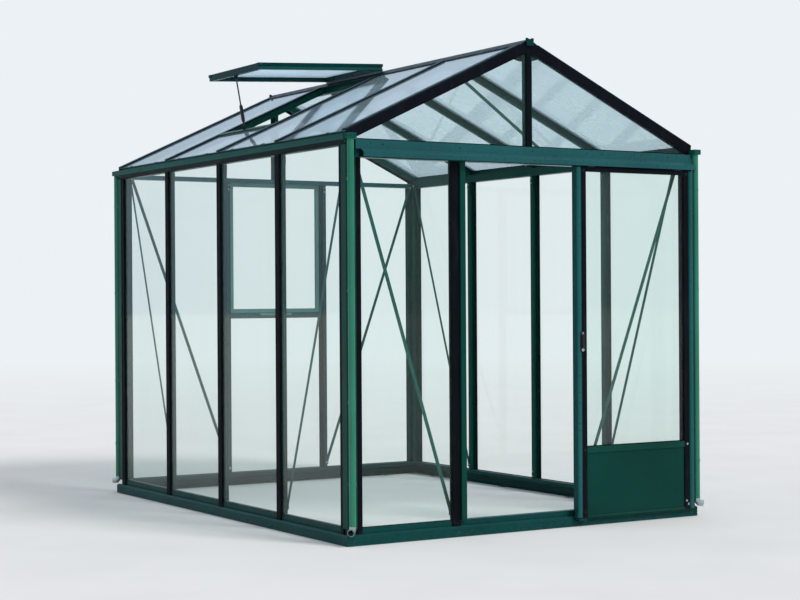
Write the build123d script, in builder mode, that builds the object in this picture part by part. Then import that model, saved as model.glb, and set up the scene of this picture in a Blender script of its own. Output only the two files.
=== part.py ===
from build123d import *
import os
from math import atan2, cos, degrees, hypot, radians, sin, tan

# A small glass greenhouse with a sliding door, in millimetres.
# The front gable faces -Y, the ground is Z = 0, and the origin is the centre of the whole outline.

# Overall layout
bay = 751.0
gable_bays = 3
side_bays = 4
corner_inset = 53.0
eaves_height = 2146.0
roof_pitch = 25.0

# Base profile
base_ledge_height = 57.0
base_height = 88.0
base_chamfer = 6.0
base_wall = 3.0
base_foot = 32.0
base_lip = 20.0
base_groove_depth = 1.2
base_groove_height = 3.0
base_groove_level = 17.0
base_groove_pitch = 18.0
base_groove_count = 2

# Glass and the black strips that hold it
strip_face = 16.0
strip_thickness = 10.0
strip_width = 52.0
strip_round = 4.0
corner_strip_width = 34.0
strip_joint = 0.5
glass_thickness = 4.0
glass_gap = 3.0

# Glazing bars: posts and roof bars share one I-shaped profile
bar_flange_width = 40.0
bar_flange_thickness = 3.0
bar_web = 6.0
bar_depth = 38.0
bar_bead_width = 24.0
bar_bead_thickness = 4.0
king_flange_width = 58.0
king_strip_width = 35.0

# Corner posts and beams
corner_face = 12.0
corner_wall = 3.0
corner_chamfer = 7.0
corner_flange = 34.0
beam_wall = 3.0
beam_drop = 31.0
front_beam_height = 95.0
rear_beam_height = 28.0

# Eaves
gutter_out = 8.0
gutter_in = 41.0
gutter_wall = 3.0
gutter_floor_thickness = 3.0
gutter_rise = -5.0
gutter_depth = 55.0
gutter_chamfer = 24.0
gutter_lip = 8.0
gutter_bead_out = 2.0
gutter_bead_height = 9.0
outlet_size = 48.0
outlet_height = 29.0
outlet_wall = 3.0
outlet_notch_width = 22.0
glass_drip = 20.0

# Ridge
ridge_half = 22.0
ridge_beam_depth = 56.0
ridge_cap_half = 62.0
ridge_cap_edge = 6.0
ridge_cap_crown = 11.0
ridge_cap_overhang = 14.0
ridge_crown_half = 26.0
ridge_end_half = 24.0
ridge_end_thickness = 10.0
ridge_end_drop = 38.0
ridge_end_rise = 4.0
ridge_end_notch_half = 12.0
ridge_end_notch_depth = 5.0
roof_strip_thickness = 9.0
gable_strip_drop = 50.0
gable_glass_drop = 12.0

# Downpipes
pipe_radius = 18.5
pipe_wall = 2.0
pipe_inward = 20.5
pipe_outward = 20.0
pipe_ring_radius = 20.5
pipe_ring_height = 16.0
pipe_ring_level = 318.0
spout_top_level = 106.0
spout_neck = 13.0
spout_steps = (20.0, 24.5)
spout_turn = 43.0

# Braces
brace_width = 20.0
brace_thickness = 3.0
brace_foot_level = 112.0
brace_head_inset = 88.0
brace_head_rise = 24.0
roof_brace_width = 36.0
roof_brace_head_shift = 32.0
roof_brace_foot_shift = 474.0

# Doorway and sliding door
first_front_bay = 634.5
door_bay = 850.0
jamb_width = 32.0
jamb_depth = 26.0
hood_out = 47.0
hood_upper_out = 14.0
hood_wall = 4.0
hood_left = 55.0
hood_notch = 30.0
hood_notch_height = 42.0
hood_lip_level = 24.0
hood_step_level = 46.0
hood_ledge = 8.0
leaf_outer = 34.0
leaf_thickness = 28.0
leaf_overlap = 3.0
leaf_bottom = 50.0
leaf_top_gap = 5.0
stile_width = 38.0
seal_width = 35.0
seal_inset = 2.0
top_seal_height = 26.0
mid_rail_level = 410.0
mid_rail_height = 35.0
bottom_rail_height = 10.0
rail_inset = 4.0
fin_height = 10.0
fin_thickness = 4.0
kick_panel_thickness = 8.0
leaf_parking_gap = 5.0
lock_level = 1036.0
lock_height = 117.0
lock_width = 34.0
lock_depth = 6.0
handle_height = 70.0
handle_width = 17.0
handle_round = 4.0
handle_reach = 6.0
roller_radius = 5.5
roller_thickness = 4.0
axle_radius = 2.0
roller_gap = 0.3
hanger_thickness = 3.0
hanger_width = 50.0
hanger_inset = 110.0
guide_width = 56.0
guide_wall = 3.0
guide_clearance = 5.0

# Roof vent, propped open on the left slope
bays_before_vent = 2
vent_length = 864.0
vent_rest_pitch = 3.0
vent_frame_height = 40.0
vent_lower_height = 22.0
vent_flange_out = 4.0
vent_rail_width = 28.0
vent_side_clearance = 26.0
vent_hinge_inset = 10.0
vent_glass_level = 26.0
vent_hinge_height = 3.0
sill_width = 35.0
sill_low = -25.0
sill_high = 14.0
opener_body_radius = 11.0
opener_rod_radius = 4.5
opener_foot_length = 42.0
opener_body_length = 115.0
opener_taper = 12.0

# Window in the middle of the rear gable
bays_before_window = 1
transom_level = 1150.0
transom_height = 40.0
sash_width = 26.0
sash_face = 12.0
window_handle_length = 210.0
window_handle_radius = 5.0
window_handle_stand = 18.0

# Derived places
width = gable_bays * bay + 2 * corner_inset
length = side_bays * bay + 2 * corner_inset
half_width = width / 2
left = -half_width
right = half_width
front = -length / 2
rear = length / 2
slope = radians(roof_pitch)
glass_outer = strip_face + strip_thickness
glass_inner = glass_outer + glass_thickness
frame_inner = glass_inner + bar_depth
ridge_height = eaves_height + half_width * tan(slope)
ridge_beam_bottom = ridge_height - ridge_beam_depth
gutter_top = eaves_height + gutter_rise
gutter_bottom = gutter_top - gutter_depth
gutter_face_bottom = gutter_bottom + gutter_chamfer
front_beam_top = eaves_height - beam_drop
front_beam_bottom = front_beam_top - front_beam_height
rear_beam_bottom = front_beam_top - rear_beam_height
pane_edge = bar_web / 2 + glass_gap
side_posts = [front + corner_inset + k * bay for k in range(1, side_bays)]
front_posts = [left + corner_inset + first_front_bay]
front_posts.append(front_posts[0] + door_bay)
rear_posts = [left + corner_inset + k * bay for k in range(1, gable_bays)]
slope_length = half_width / cos(slope)
vent_low_line = front + corner_inset + bays_before_vent * bay
vent_high_line = vent_low_line + bay

os.makedirs("parts", exist_ok=True)


def save(builder, name):
    """Labels a finished piece and writes it."""
    builder.part.label = name
    export_step(builder.part, f"parts/{name}.step")


def roof_z(x, lift=0.0):
    """Height of the plane parallel to the roof, lift above the underside of its glass."""
    return eaves_height + (half_width - abs(x)) * tan(slope) + lift / cos(slope)


def section_plane(side):
    """Plane across a wall: local x runs inward from the outer face, local y upward."""
    if side == "left":
        return Plane(origin=(left, 0, 0), x_dir=(1, 0, 0), z_dir=(0, -1, 0))
    if side == "right":
        return Plane(origin=(right, 0, 0), x_dir=(-1, 0, 0), z_dir=(0, 1, 0))
    if side == "front":
        return Plane(origin=(0, front, 0), x_dir=(0, 1, 0), z_dir=(1, 0, 0))
    return Plane(origin=(0, rear, 0), x_dir=(0, -1, 0), z_dir=(-1, 0, 0))


def post_plane(side, along, level):
    """Horizontal plane at a post: local x runs along the wall, local y inward."""
    if side == "left":
        return Plane(origin=(left, along, level), x_dir=(0, -1, 0), z_dir=(0, 0, 1))
    if side == "right":
        return Plane(origin=(right, along, level), x_dir=(0, 1, 0), z_dir=(0, 0, 1))
    if side == "front":
        return Plane(origin=(along, front, level), x_dir=(1, 0, 0), z_dir=(0, 0, 1))
    return Plane(origin=(along, rear, level), x_dir=(-1, 0, 0), z_dir=(0, 0, 1))


def face_plane(side, outer, inner):
    """Plane of a wall for shapes drawn along it and upward, extruded from depth outer to inner."""
    if side == "left":
        return Plane(origin=(left + outer, 0, 0), x_dir=(0, 1, 0), z_dir=(1, 0, 0))
    if side == "right":
        return Plane(origin=(right - inner, 0, 0), x_dir=(0, 1, 0), z_dir=(1, 0, 0))
    if side == "front":
        return Plane(origin=(0, front + inner, 0), x_dir=(1, 0, 0), z_dir=(0, -1, 0))
    return Plane(origin=(0, rear - outer, 0), x_dir=(1, 0, 0), z_dir=(0, -1, 0))


def slope_plane(side, low, high):
    """Plane of a roof slope: local x runs along Y, local y up the slope from the eaves line."""
    if side == "left":
        origin = (left - high * sin(slope), 0, eaves_height + high * cos(slope))
        return Plane(origin=origin, x_dir=(0, 1, 0), z_dir=(sin(slope), 0, -cos(slope)))
    origin = (right + low * sin(slope), 0, eaves_height + low * cos(slope))
    return Plane(origin=origin, x_dir=(0, 1, 0), z_dir=(sin(slope), 0, cos(slope)))


def bar_plane(side, along):
    """Plane square to a roof slope at the eaves line: local y points out of the roof."""
    outer, x_sign = (left, -1) if side == "left" else (right, 1)
    uphill = (-x_sign * cos(slope), 0, sin(slope))
    return Plane(origin=(outer, along, eaves_height), x_dir=(0, -x_sign, 0), z_dir=uphill)


def bar_profile(flange_width, start, inward):
    """I-shaped glazing bar: flange on the glass, web, inner bead and the rib between two panes."""
    web_depth = bar_depth - bar_flange_thickness - bar_bead_thickness
    with Locations((0, start + inward * bar_flange_thickness / 2)):
        Rectangle(flange_width, bar_flange_thickness)
    with Locations((0, start + inward * (bar_flange_thickness + web_depth / 2))):
        Rectangle(bar_web, web_depth)
    with Locations((0, start + inward * (bar_depth - bar_bead_thickness / 2))):
        Rectangle(bar_bead_width, bar_bead_thickness)
    with Locations((0, start - inward * glass_thickness / 2)):
        Rectangle(bar_web, glass_thickness)


def flat_bar(start, end, bar_width=brace_width):
    """Outline of a flat bar from start to end."""
    run, rise = end[0] - start[0], end[1] - start[1]
    with Locations(((start[0] + end[0]) / 2, (start[1] + end[1]) / 2)):
        Rectangle(hypot(run, rise), bar_width, rotation=degrees(atan2(rise, run)))


def pane(low, high, bottom, top):
    """Upright rectangle between two positions along a wall and two levels."""
    with Locations(((low + high) / 2, (bottom + top) / 2)):
        Rectangle(high - low, top - bottom)


def roof_band(low_x, high_x, low_lift, high_lift):
    """Points of a band parallel to one roof slope, between two places across the building."""
    return [
        (low_x, roof_z(low_x, low_lift)),
        (high_x, roof_z(high_x, low_lift)),
        (high_x, roof_z(high_x, high_lift)),
        (low_x, roof_z(low_x, high_lift)),
    ]


# Base profiles, mitred at the corners

base_outline = [
    (0, 0),
    (0, base_ledge_height - base_chamfer),
    (base_chamfer, base_ledge_height),
    (glass_outer, base_ledge_height),
    (glass_outer, base_height),
    (frame_inner, base_height),
    (frame_inner, base_height - base_lip),
    (frame_inner - base_wall, base_height - base_lip),
    (frame_inner - base_wall, base_height - base_wall),
    (glass_outer + base_wall, base_height - base_wall),
    (glass_outer + base_wall, base_ledge_height - base_wall),
    (base_chamfer + base_wall, base_ledge_height - base_wall),
    (base_wall, base_ledge_height - base_chamfer - base_wall),
    (base_wall, base_wall),
    (base_foot, base_wall),
    (base_foot, 0),
]


def mitred_base(sides, run):
    """Two opposite sides of the base, with their ends mitred."""
    with BuildPart() as base:
        for side in sides:
            with BuildSketch(section_plane(side)):
                Polygon(*base_outline, align=None)
                for number in range(base_groove_count):
                    with Locations((0, base_groove_level + number * base_groove_pitch)):
                        Rectangle(2 * base_groove_depth, base_groove_height, mode=Mode.SUBTRACT)
            extrude(amount=run / 2, both=True)
        with BuildSketch(Plane.XY):
            for sign in (-1, 1):
                if "front" in sides:
                    Polygon(
                        (left, sign * rear),
                        (right, sign * rear),
                        (right - frame_inner, sign * (rear - frame_inner)),
                        (left + frame_inner, sign * (rear - frame_inner)),
                        align=None,
                    )
                else:
                    Polygon(
                        (sign * right, front),
                        (sign * (right - frame_inner), front + frame_inner),
                        (sign * (right - frame_inner), rear - frame_inner),
                        (sign * right, rear),
                        align=None,
                    )
        extrude(amount=base_height, mode=Mode.INTERSECT)
    return base


save(mitred_base(("front", "rear"), width), "base_ends")
save(mitred_base(("left", "right"), length), "base_sides")


# Corner posts: square tubes with a glazing flange along each wall

corner_tip = corner_face + corner_chamfer
flange_end = frame_inner + corner_flange
flange_back = glass_inner + beam_wall
hollow_start = corner_face + corner_wall + corner_chamfer / 2
hollow_size = frame_inner - corner_wall - hollow_start
hollow_middle = hollow_start + hollow_size / 2
flange_middle = (frame_inner + flange_end) / 2
flange_depth = (glass_inner + flange_back) / 2
corner_outline = [
    (corner_face, corner_tip),
    (corner_tip, corner_face),
    (frame_inner, corner_face),
    (frame_inner, frame_inner),
    (corner_face, frame_inner),
]
with BuildPart() as corner_posts:
    for corner_y, y_sign, flange_top in ((front, 1, front_beam_bottom), (rear, -1, gutter_bottom)):
        with BuildSketch(Plane.XY.offset(base_height)):
            for x_sign in (-1, 1):
                corner_x = x_sign * half_width
                corner_points = [(corner_x - x_sign * a, corner_y + y_sign * b) for a, b in corner_outline]
                Polygon(*corner_points, align=None)
                with Locations((x_sign * (half_width - hollow_middle), corner_y + y_sign * hollow_middle)):
                    Rectangle(hollow_size, hollow_size, mode=Mode.SUBTRACT)
                with Locations((x_sign * (half_width - flange_depth), corner_y + y_sign * flange_middle)):
                    Rectangle(flange_back - glass_inner, corner_flange)
        extrude(amount=gutter_bottom - base_height)
        with BuildSketch(Plane.XY.offset(base_height)):
            for x_sign in (-1, 1):
                with Locations((x_sign * (half_width - flange_middle), corner_y + y_sign * flange_depth)):
                    Rectangle(corner_flange, flange_back - glass_inner)
        extrude(amount=flange_top - base_height)
save(corner_posts, "corner_posts")


# Wall posts

def wall_posts(walls, top):
    """Glazing bars from the base to a beam; walls pairs each side with the places of its posts."""
    with BuildPart() as posts:
        for side, places in walls:
            for along in places:
                with BuildSketch(post_plane(side, along, base_height)):
                    bar_profile(bar_flange_width, glass_inner, 1)
                extrude(amount=top - base_height)
    return posts


save(wall_posts([("front", front_posts)], front_beam_bottom), "front_wall_posts")
save(wall_posts([("rear", rear_posts)], rear_beam_bottom), "rear_wall_posts")
save(wall_posts([("left", side_posts), ("right", side_posts)], gutter_bottom), "side_wall_posts")

# Door jambs: box tubes in front of the glass, beside the two front posts
jamb_lines = (front_posts[0] + strip_width / 2, front_posts[1] - strip_width / 2 - jamb_width)
with BuildPart() as door_jambs:
    for jamb_left in jamb_lines:
        with BuildSketch(Plane.XY.offset(base_height)):
            with Locations((jamb_left + jamb_width / 2, front + glass_inner - jamb_depth / 2)):
                Rectangle(jamb_width, jamb_depth)
                Rectangle(jamb_width - 2 * base_wall, jamb_depth - 2 * base_wall, mode=Mode.SUBTRACT)
        extrude(amount=front_beam_bottom - base_height)
save(door_jambs, "door_jambs")


# Beams across the gables

def gable_beam(side, bottom):
    """Hollow beam between the corner posts of one gable."""
    with BuildPart() as beam:
        with BuildSketch(section_plane(side)):
            with Locations(((corner_face + frame_inner) / 2, (bottom + front_beam_top) / 2)):
                Rectangle(frame_inner - corner_face, front_beam_top - bottom)
                Rectangle(
                    frame_inner - corner_face - 2 * beam_wall,
                    front_beam_top - bottom - 2 * beam_wall,
                    mode=Mode.SUBTRACT,
                )
        extrude(amount=half_width - frame_inner, both=True)
    return beam


save(gable_beam("front", front_beam_bottom), "front_tie_beam")
save(gable_beam("rear", rear_beam_bottom), "rear_tie_beam")

# Hood over the sliding door: its lower part stands further out and carries the roller track
hood_step = front_beam_bottom + hood_step_level
hood_lip = front_beam_bottom + hood_lip_level
hood_top = front_beam_top - hood_wall
hood_outline = [
    (corner_face, hood_top),
    (-hood_upper_out, hood_top),
    (-hood_upper_out, hood_step),
    (-hood_out, hood_lip),
    (-hood_out, front_beam_bottom),
    (-hood_out + hood_wall + hood_ledge, front_beam_bottom),
    (-hood_out + hood_wall + hood_ledge, front_beam_bottom + hood_wall),
    (-hood_out + hood_wall, front_beam_bottom + hood_wall),
    (-hood_out + hood_wall, hood_lip - hood_wall),
    (-hood_upper_out + hood_wall, hood_step - hood_wall),
    (-hood_upper_out + hood_wall, hood_top - hood_wall),
    (corner_face, hood_top - hood_wall),
]
with BuildPart() as door_hood:
    with BuildSketch(section_plane("front").offset(left + hood_left)):
        Polygon(*hood_outline, align=None)
    extrude(amount=width - hood_left - gutter_in)
    with BuildSketch(section_plane("front").offset(left + hood_left)):
        with Locations((-hood_out / 2 - corner_face, front_beam_bottom + hood_notch_height / 2)):
            Rectangle(hood_out + corner_face, hood_notch_height)
    extrude(amount=hood_notch, mode=Mode.SUBTRACT)
save(door_hood, "door_hood")


# Eaves gutters: a sloping floor and a face with its bead and lip, with the eaves beam behind

gutter_back = gutter_in - gutter_wall
gutter_floor_outline = [
    (gutter_back, gutter_bottom),
    (gutter_chamfer - gutter_out, gutter_bottom),
    (-gutter_out, gutter_face_bottom),
    (gutter_wall - gutter_out, gutter_face_bottom),
    (gutter_back, gutter_bottom + gutter_floor_thickness),
]
gutter_face_outline = [
    (-gutter_out, gutter_face_bottom),
    (-gutter_out, gutter_top - gutter_bead_height),
    (-gutter_out - gutter_bead_out, gutter_top - gutter_bead_height),
    (-gutter_out - gutter_bead_out, gutter_top),
    (gutter_lip - gutter_out, gutter_top),
    (gutter_lip - gutter_out, gutter_top - gutter_wall),
    (gutter_wall - gutter_out, gutter_top - gutter_wall),
    (gutter_wall - gutter_out, gutter_face_bottom),
]
gutter_cap_outline = [
    (gutter_in, gutter_bottom),
    (gutter_chamfer - gutter_out, gutter_bottom),
    (-gutter_out, gutter_face_bottom),
    (-gutter_out, gutter_top),
    (gutter_in, gutter_top),
]
outlet_inner_y = rear + pipe_outward - outlet_size / 2
outlet_bottom = gutter_top - outlet_height
gutter_half = outlet_inner_y - gutter_wall
pipe_places = [
    (x_sign * (half_width - pipe_inward), y_sign * (rear + pipe_outward))
    for x_sign in (-1, 1)
    for y_sign in (-1, 1)
]

with BuildPart() as gutter_floors:
    for side in ("left", "right"):
        with BuildSketch(section_plane(side)):
            Polygon(*gutter_floor_outline, align=None)
        extrude(amount=gutter_half, both=True)
save(gutter_floors, "gutter_floors")

with BuildPart() as gutter_faces:
    for side in ("left", "right"):
        with BuildSketch(section_plane(side)):
            Polygon(*gutter_face_outline, align=None)
        extrude(amount=gutter_half, both=True)
save(gutter_faces, "gutter_faces")

# End caps, each with a box outlet in front of it; its square hole lies within the bore of the pipe
with BuildPart() as gutter_end_caps:
    for side in ("left", "right"):
        for end in (-1, 1):
            with BuildSketch(section_plane(side).offset(end * gutter_half)):
                Polygon(*gutter_cap_outline, align=None)
            extrude(amount=end * gutter_wall)
    with BuildSketch(Plane.XY.offset(outlet_bottom)):
        with Locations(*pipe_places):
            Rectangle(outlet_size, outlet_size)
            Rectangle(outlet_notch_width, outlet_notch_width, mode=Mode.SUBTRACT)
    extrude(amount=outlet_height)
    with BuildSketch(Plane.XY.offset(outlet_bottom + outlet_wall)):
        with Locations(*pipe_places):
            Rectangle(outlet_size - 2 * outlet_wall, outlet_size - 2 * outlet_wall)
        with Locations(*[(pipe_x, 0) for pipe_x, pipe_y in pipe_places[::2]]):
            Rectangle(outlet_notch_width, 2 * (rear + pipe_outward))
    extrude(amount=outlet_height - outlet_wall, mode=Mode.SUBTRACT)
save(gutter_end_caps, "gutter_end_caps")

# Eaves beams: notched at their ends for the strips of the gables; a fin on each is the gutter's back

eaves_beam_top_outer = roof_z(half_width - gutter_in, -bar_depth)
eaves_beam_top_inner = roof_z(half_width - frame_inner, -bar_depth)
strip_foot = roof_z(half_width - gutter_in, -gable_strip_drop)
with BuildPart() as eaves_beams:
    for side in ("left", "right"):
        with BuildSketch(section_plane(side)):
            Polygon(
                (gutter_in, gutter_bottom),
                (frame_inner, gutter_bottom),
                (frame_inner, eaves_beam_top_inner),
                (gutter_in, eaves_beam_top_outer),
                align=None,
            )
            offset(amount=-beam_wall, mode=Mode.SUBTRACT)
        extrude(amount=length / 2 - corner_face, both=True)
    for gable in ("front", "rear"):
        with BuildSketch(face_plane(gable, corner_face, glass_outer)):
            pane(left, right, strip_foot, eaves_height)
        extrude(amount=glass_outer - corner_face, mode=Mode.SUBTRACT)
    for side in ("left", "right"):
        with BuildSketch(section_plane(side)):
            pane(gutter_back, gutter_in, gutter_bottom, gutter_top)
        extrude(amount=gutter_half, both=True)
save(eaves_beams, "eaves_beams")


# Ridge beam, and its cap with a notched plate at each end

with BuildPart() as ridge_beam:
    with BuildSketch(section_plane("left").move(Location((half_width, 0, 0)))):
        Polygon(
            (-ridge_half, ridge_beam_bottom),
            (ridge_half, ridge_beam_bottom),
            (ridge_half, roof_z(ridge_half)),
            (0, roof_z(0)),
            (-ridge_half, roof_z(ridge_half)),
            align=None,
        )
        offset(amount=-beam_wall, mode=Mode.SUBTRACT)
    extrude(amount=length / 2 - glass_inner, both=True)
save(ridge_beam, "ridge_beam")

cap_crown = roof_z(0, glass_thickness) + ridge_cap_crown
cap_side = roof_z(ridge_crown_half, glass_thickness) + ridge_cap_crown
cap_edge = roof_z(ridge_cap_half, glass_thickness)
with BuildPart() as ridge_cap:
    with BuildSketch(section_plane("left").move(Location((half_width, 0, 0)))):
        Polygon(
            (-ridge_cap_half, cap_edge),
            (0, roof_z(0, glass_thickness)),
            (ridge_cap_half, cap_edge),
            (ridge_cap_half, cap_edge + ridge_cap_edge),
            (ridge_crown_half, cap_side),
            (0, cap_crown),
            (-ridge_crown_half, cap_side),
            (-ridge_cap_half, cap_edge + ridge_cap_edge),
            align=None,
        )
    extrude(amount=length / 2 - ridge_cap_overhang, both=True)
    for gable in ("front", "rear"):
        with BuildSketch(face_plane(gable, ridge_cap_overhang - ridge_end_thickness, ridge_cap_overhang)):
            pane(-ridge_end_half, ridge_end_half, cap_crown - ridge_end_drop, cap_crown + ridge_end_rise)
            with Locations((0, cap_crown + ridge_end_rise - ridge_end_notch_depth / 2)):
                Rectangle(2 * ridge_end_notch_half, ridge_end_notch_depth, mode=Mode.SUBTRACT)
        extrude(amount=ridge_end_thickness)
save(ridge_cap, "ridge_cap")


# Gable rafters and king posts

with BuildPart() as gable_rafters:
    for side in ("front", "rear"):
        for x_sign in (-1, 1):
            rafter = roof_band(x_sign * (half_width - gutter_in), x_sign * ridge_half, -bar_depth, 0)
            with BuildSketch(face_plane(side, glass_inner, frame_inner)):
                Polygon(*rafter, align=None)
            extrude(amount=frame_inner - glass_inner)
            with BuildSketch(face_plane(side, glass_inner + beam_wall, frame_inner - beam_wall)):
                Polygon(
                    *roof_band(x_sign * half_width, 0, -bar_depth + beam_wall, -beam_wall),
                    align=None,
                )
            extrude(amount=frame_inner - glass_inner - 2 * beam_wall, mode=Mode.SUBTRACT)
save(gable_rafters, "gable_rafters")

with BuildPart() as king_posts:
    for side in ("front", "rear"):
        with BuildSketch(post_plane(side, 0, front_beam_top)):
            bar_profile(king_flange_width, glass_inner, 1)
        extrude(amount=ridge_beam_bottom - front_beam_top)
save(king_posts, "king_posts")


# Roof bars, cut upright at the eaves beams and at the ridge beam

with BuildPart() as roof_bars:
    for side in ("left", "right"):
        for along in side_posts:
            with BuildSketch(bar_plane(side, along)):
                bar_profile(bar_flange_width, 0, -1)
            extrude(amount=slope_length)
    with BuildSketch(Plane.XZ.offset(-rear)):
        for x_sign in (-1, 1):
            pane(*sorted((x_sign * ridge_half, x_sign * (half_width - gutter_in))), 0, 2 * eaves_height)
    extrude(amount=length, mode=Mode.INTERSECT)
save(roof_bars, "roof_bars")


# Black cover strips on the walls

corner_strip_middle = frame_inner + corner_strip_width / 2
notch_x = half_width - gutter_in
notch_z = gutter_top + strip_joint
strip_foot_x = half_width - glass_drip
king_strip_top = roof_z(king_strip_width / 2, glass_thickness)
rafter_strip_start = king_strip_width / 2 + strip_joint


def upright_strip(side, along, strip_across, level):
    """Section of a rounded strip that stands in front of a post."""
    with BuildSketch(post_plane(side, along, level)) as section:
        with Locations((0, strip_face + strip_thickness / 2)):
            Rectangle(strip_across, strip_thickness)
        fillet(section.vertices().group_by(Axis.Y)[0], strip_round)
    return section.sketch


def gable_cover_strips(side, posts, beam_bottom):
    """Strips of one gable wall, on its rafters, notched over the gutter ends, and on its king post."""
    places = [(along, strip_width) for along in posts]
    places.append((left + corner_strip_middle, corner_strip_width))
    places.append((right - corner_strip_middle, corner_strip_width))
    with BuildPart() as strips:
        for along, strip_across in places:
            post_strip = upright_strip(side, along, strip_across, base_ledge_height)
            extrude(post_strip, amount=beam_bottom - base_ledge_height)
        for x_sign in (-1, 1):
            with BuildSketch(face_plane(side, strip_face, glass_outer)):
                Polygon(
                    (x_sign * rafter_strip_start, roof_z(rafter_strip_start, -gable_strip_drop)),
                    (x_sign * notch_x, roof_z(notch_x, -gable_strip_drop)),
                    (x_sign * notch_x, notch_z),
                    (x_sign * strip_foot_x, notch_z),
                    (x_sign * strip_foot_x, roof_z(strip_foot_x, glass_thickness)),
                    (x_sign * rafter_strip_start, roof_z(rafter_strip_start, glass_thickness)),
                    align=None,
                )
            extrude(amount=glass_outer - strip_face)
        king_strip = upright_strip(side, 0, king_strip_width, front_beam_top)
        extrude(king_strip, amount=king_strip_top - front_beam_top)
    return strips


save(gable_cover_strips("front", front_posts, front_beam_bottom), "cover_strips_front")
save(gable_cover_strips("rear", rear_posts, rear_beam_bottom), "cover_strips_rear")

side_strip_places = [(along, strip_width) for along in side_posts]
side_strip_places.append((front + corner_strip_middle, corner_strip_width))
side_strip_places.append((rear - corner_strip_middle, corner_strip_width))
with BuildPart() as cover_strips_sides:
    for side in ("left", "right"):
        for along, strip_across in side_strip_places:
            post_strip = upright_strip(side, along, strip_across, base_ledge_height)
            extrude(post_strip, amount=gutter_bottom - base_ledge_height)
save(cover_strips_sides, "cover_strips_sides")


# Black cover strips on the roof, along the bars and along both gable edges

cap_slope_start = glass_drip / cos(slope)
cap_slope_end = (half_width - ridge_cap_half) / cos(slope)
with BuildPart() as roof_strips:
    for side, x_sign in (("left", -1), ("right", 1)):
        for along in side_posts:
            with BuildSketch(bar_plane(side, along).offset(cap_slope_start)) as strip_section:
                with Locations((0, glass_thickness + roof_strip_thickness / 2)):
                    Rectangle(strip_width, roof_strip_thickness)
                fillet(strip_section.vertices().group_by(Axis.Y)[-1], strip_round)
            extrude(amount=cap_slope_end - cap_slope_start)
        for gable in ("front", "rear"):
            with BuildSketch(face_plane(gable, ridge_cap_overhang, frame_inner)):
                Polygon(
                    *roof_band(
                        x_sign * (half_width - glass_drip),
                        x_sign * ridge_cap_half,
                        glass_thickness,
                        glass_thickness + roof_strip_thickness,
                    ),
                    align=None,
                )
            extrude(amount=frame_inner - ridge_cap_overhang)
save(roof_strips, "roof_strips")


# Glass of the walls

corner_pane_edge = frame_inner + glass_gap


def pane_lines(start, places, end):
    """Start and end of each pane between two corners and the posts at places."""
    starts = [start + corner_pane_edge] + [along + pane_edge for along in places]
    ends = [along - pane_edge for along in places] + [end - corner_pane_edge]
    return list(zip(starts, ends))


front_lines = pane_lines(left, front_posts, right)
rear_lines = pane_lines(left, rear_posts, right)
with BuildPart() as glass_front:
    with BuildSketch(face_plane("front", glass_outer, glass_inner)):
        pane(*front_lines[0], base_height, front_beam_bottom)
        pane(*front_lines[-1], base_height, front_beam_bottom)
    extrude(amount=glass_thickness)
save(glass_front, "glass_front")

with BuildPart() as glass_rear:
    with BuildSketch(face_plane("rear", glass_outer, glass_inner)):
        for number, line in enumerate(rear_lines):
            pane(*line, base_height, transom_level if number == bays_before_window else rear_beam_bottom)
    extrude(amount=glass_thickness)
save(glass_rear, "glass_rear")

with BuildPart() as glass_sides:
    for side in ("left", "right"):
        with BuildSketch(face_plane(side, glass_outer, glass_inner)):
            for line in pane_lines(front, side_posts, rear):
                pane(*line, base_height, gutter_bottom)
        extrude(amount=glass_thickness)
save(glass_sides, "glass_sides")


# Glass of the gables

with BuildPart() as glass_gables:
    for side in ("front", "rear"):
        with BuildSketch(face_plane(side, glass_outer, glass_inner)):
            for x_sign in (-1, 1):
                outer_x = half_width - corner_pane_edge
                Polygon(
                    (x_sign * pane_edge, front_beam_top),
                    (x_sign * outer_x, front_beam_top),
                    (x_sign * outer_x, roof_z(outer_x, -gable_glass_drop)),
                    (x_sign * pane_edge, roof_z(pane_edge, -gable_glass_drop)),
                    align=None,
                )
        extrude(amount=glass_thickness)
save(glass_gables, "glass_gables")


# Glass of the roof, with the pane below the vent cut short

roof_glass_start = glass_drip / cos(slope)
roof_glass_end = (half_width - glass_gap) / cos(slope)
sill_top = (half_width - vent_hinge_inset) / cos(slope) - vent_length + sill_width / 2
sill_bottom = sill_top - sill_width
roof_pane_starts = [front + glass_outer + glass_gap] + [along + pane_edge for along in side_posts]
roof_pane_ends = [along - pane_edge for along in side_posts] + [rear - glass_outer - glass_gap]
with BuildPart() as glass_roof:
    for side in ("left", "right"):
        with BuildSketch(slope_plane(side, 0, glass_thickness)):
            for number, (low, high) in enumerate(zip(roof_pane_starts, roof_pane_ends)):
                under_vent = side == "left" and number == bays_before_vent
                pane(low, high, roof_glass_start, sill_bottom if under_vent else roof_glass_end)
        extrude(amount=glass_thickness)
save(glass_roof, "glass_roof")


# Braces: flat bars across the inner beads of the posts

front_brace_head = front_beam_bottom + brace_head_rise
rear_brace_head = (rear_beam_bottom + front_beam_top) / 2
side_brace_head = (gutter_bottom + eaves_beam_top_inner) / 2
wall_brace_ends = []
for side, heads, posts, low_corner, high_corner in (
    ("front", front_brace_head, front_posts, left, right),
    ("rear", rear_brace_head, rear_posts, left, right),
    ("left", side_brace_head, side_posts, front, rear),
    ("right", side_brace_head, side_posts, front, rear),
):
    wall_brace_ends.append((side, (low_corner + brace_head_inset, heads), (posts[0], brace_foot_level)))
    wall_brace_ends.append((side, (high_corner - brace_head_inset, heads), (posts[-1], brace_foot_level)))

with BuildPart() as wall_braces:
    for side, head, foot in wall_brace_ends:
        with BuildSketch(face_plane(side, frame_inner, frame_inner + brace_thickness)):
            flat_bar(head, foot)
        extrude(amount=brace_thickness)
save(wall_braces, "wall_braces")

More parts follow.
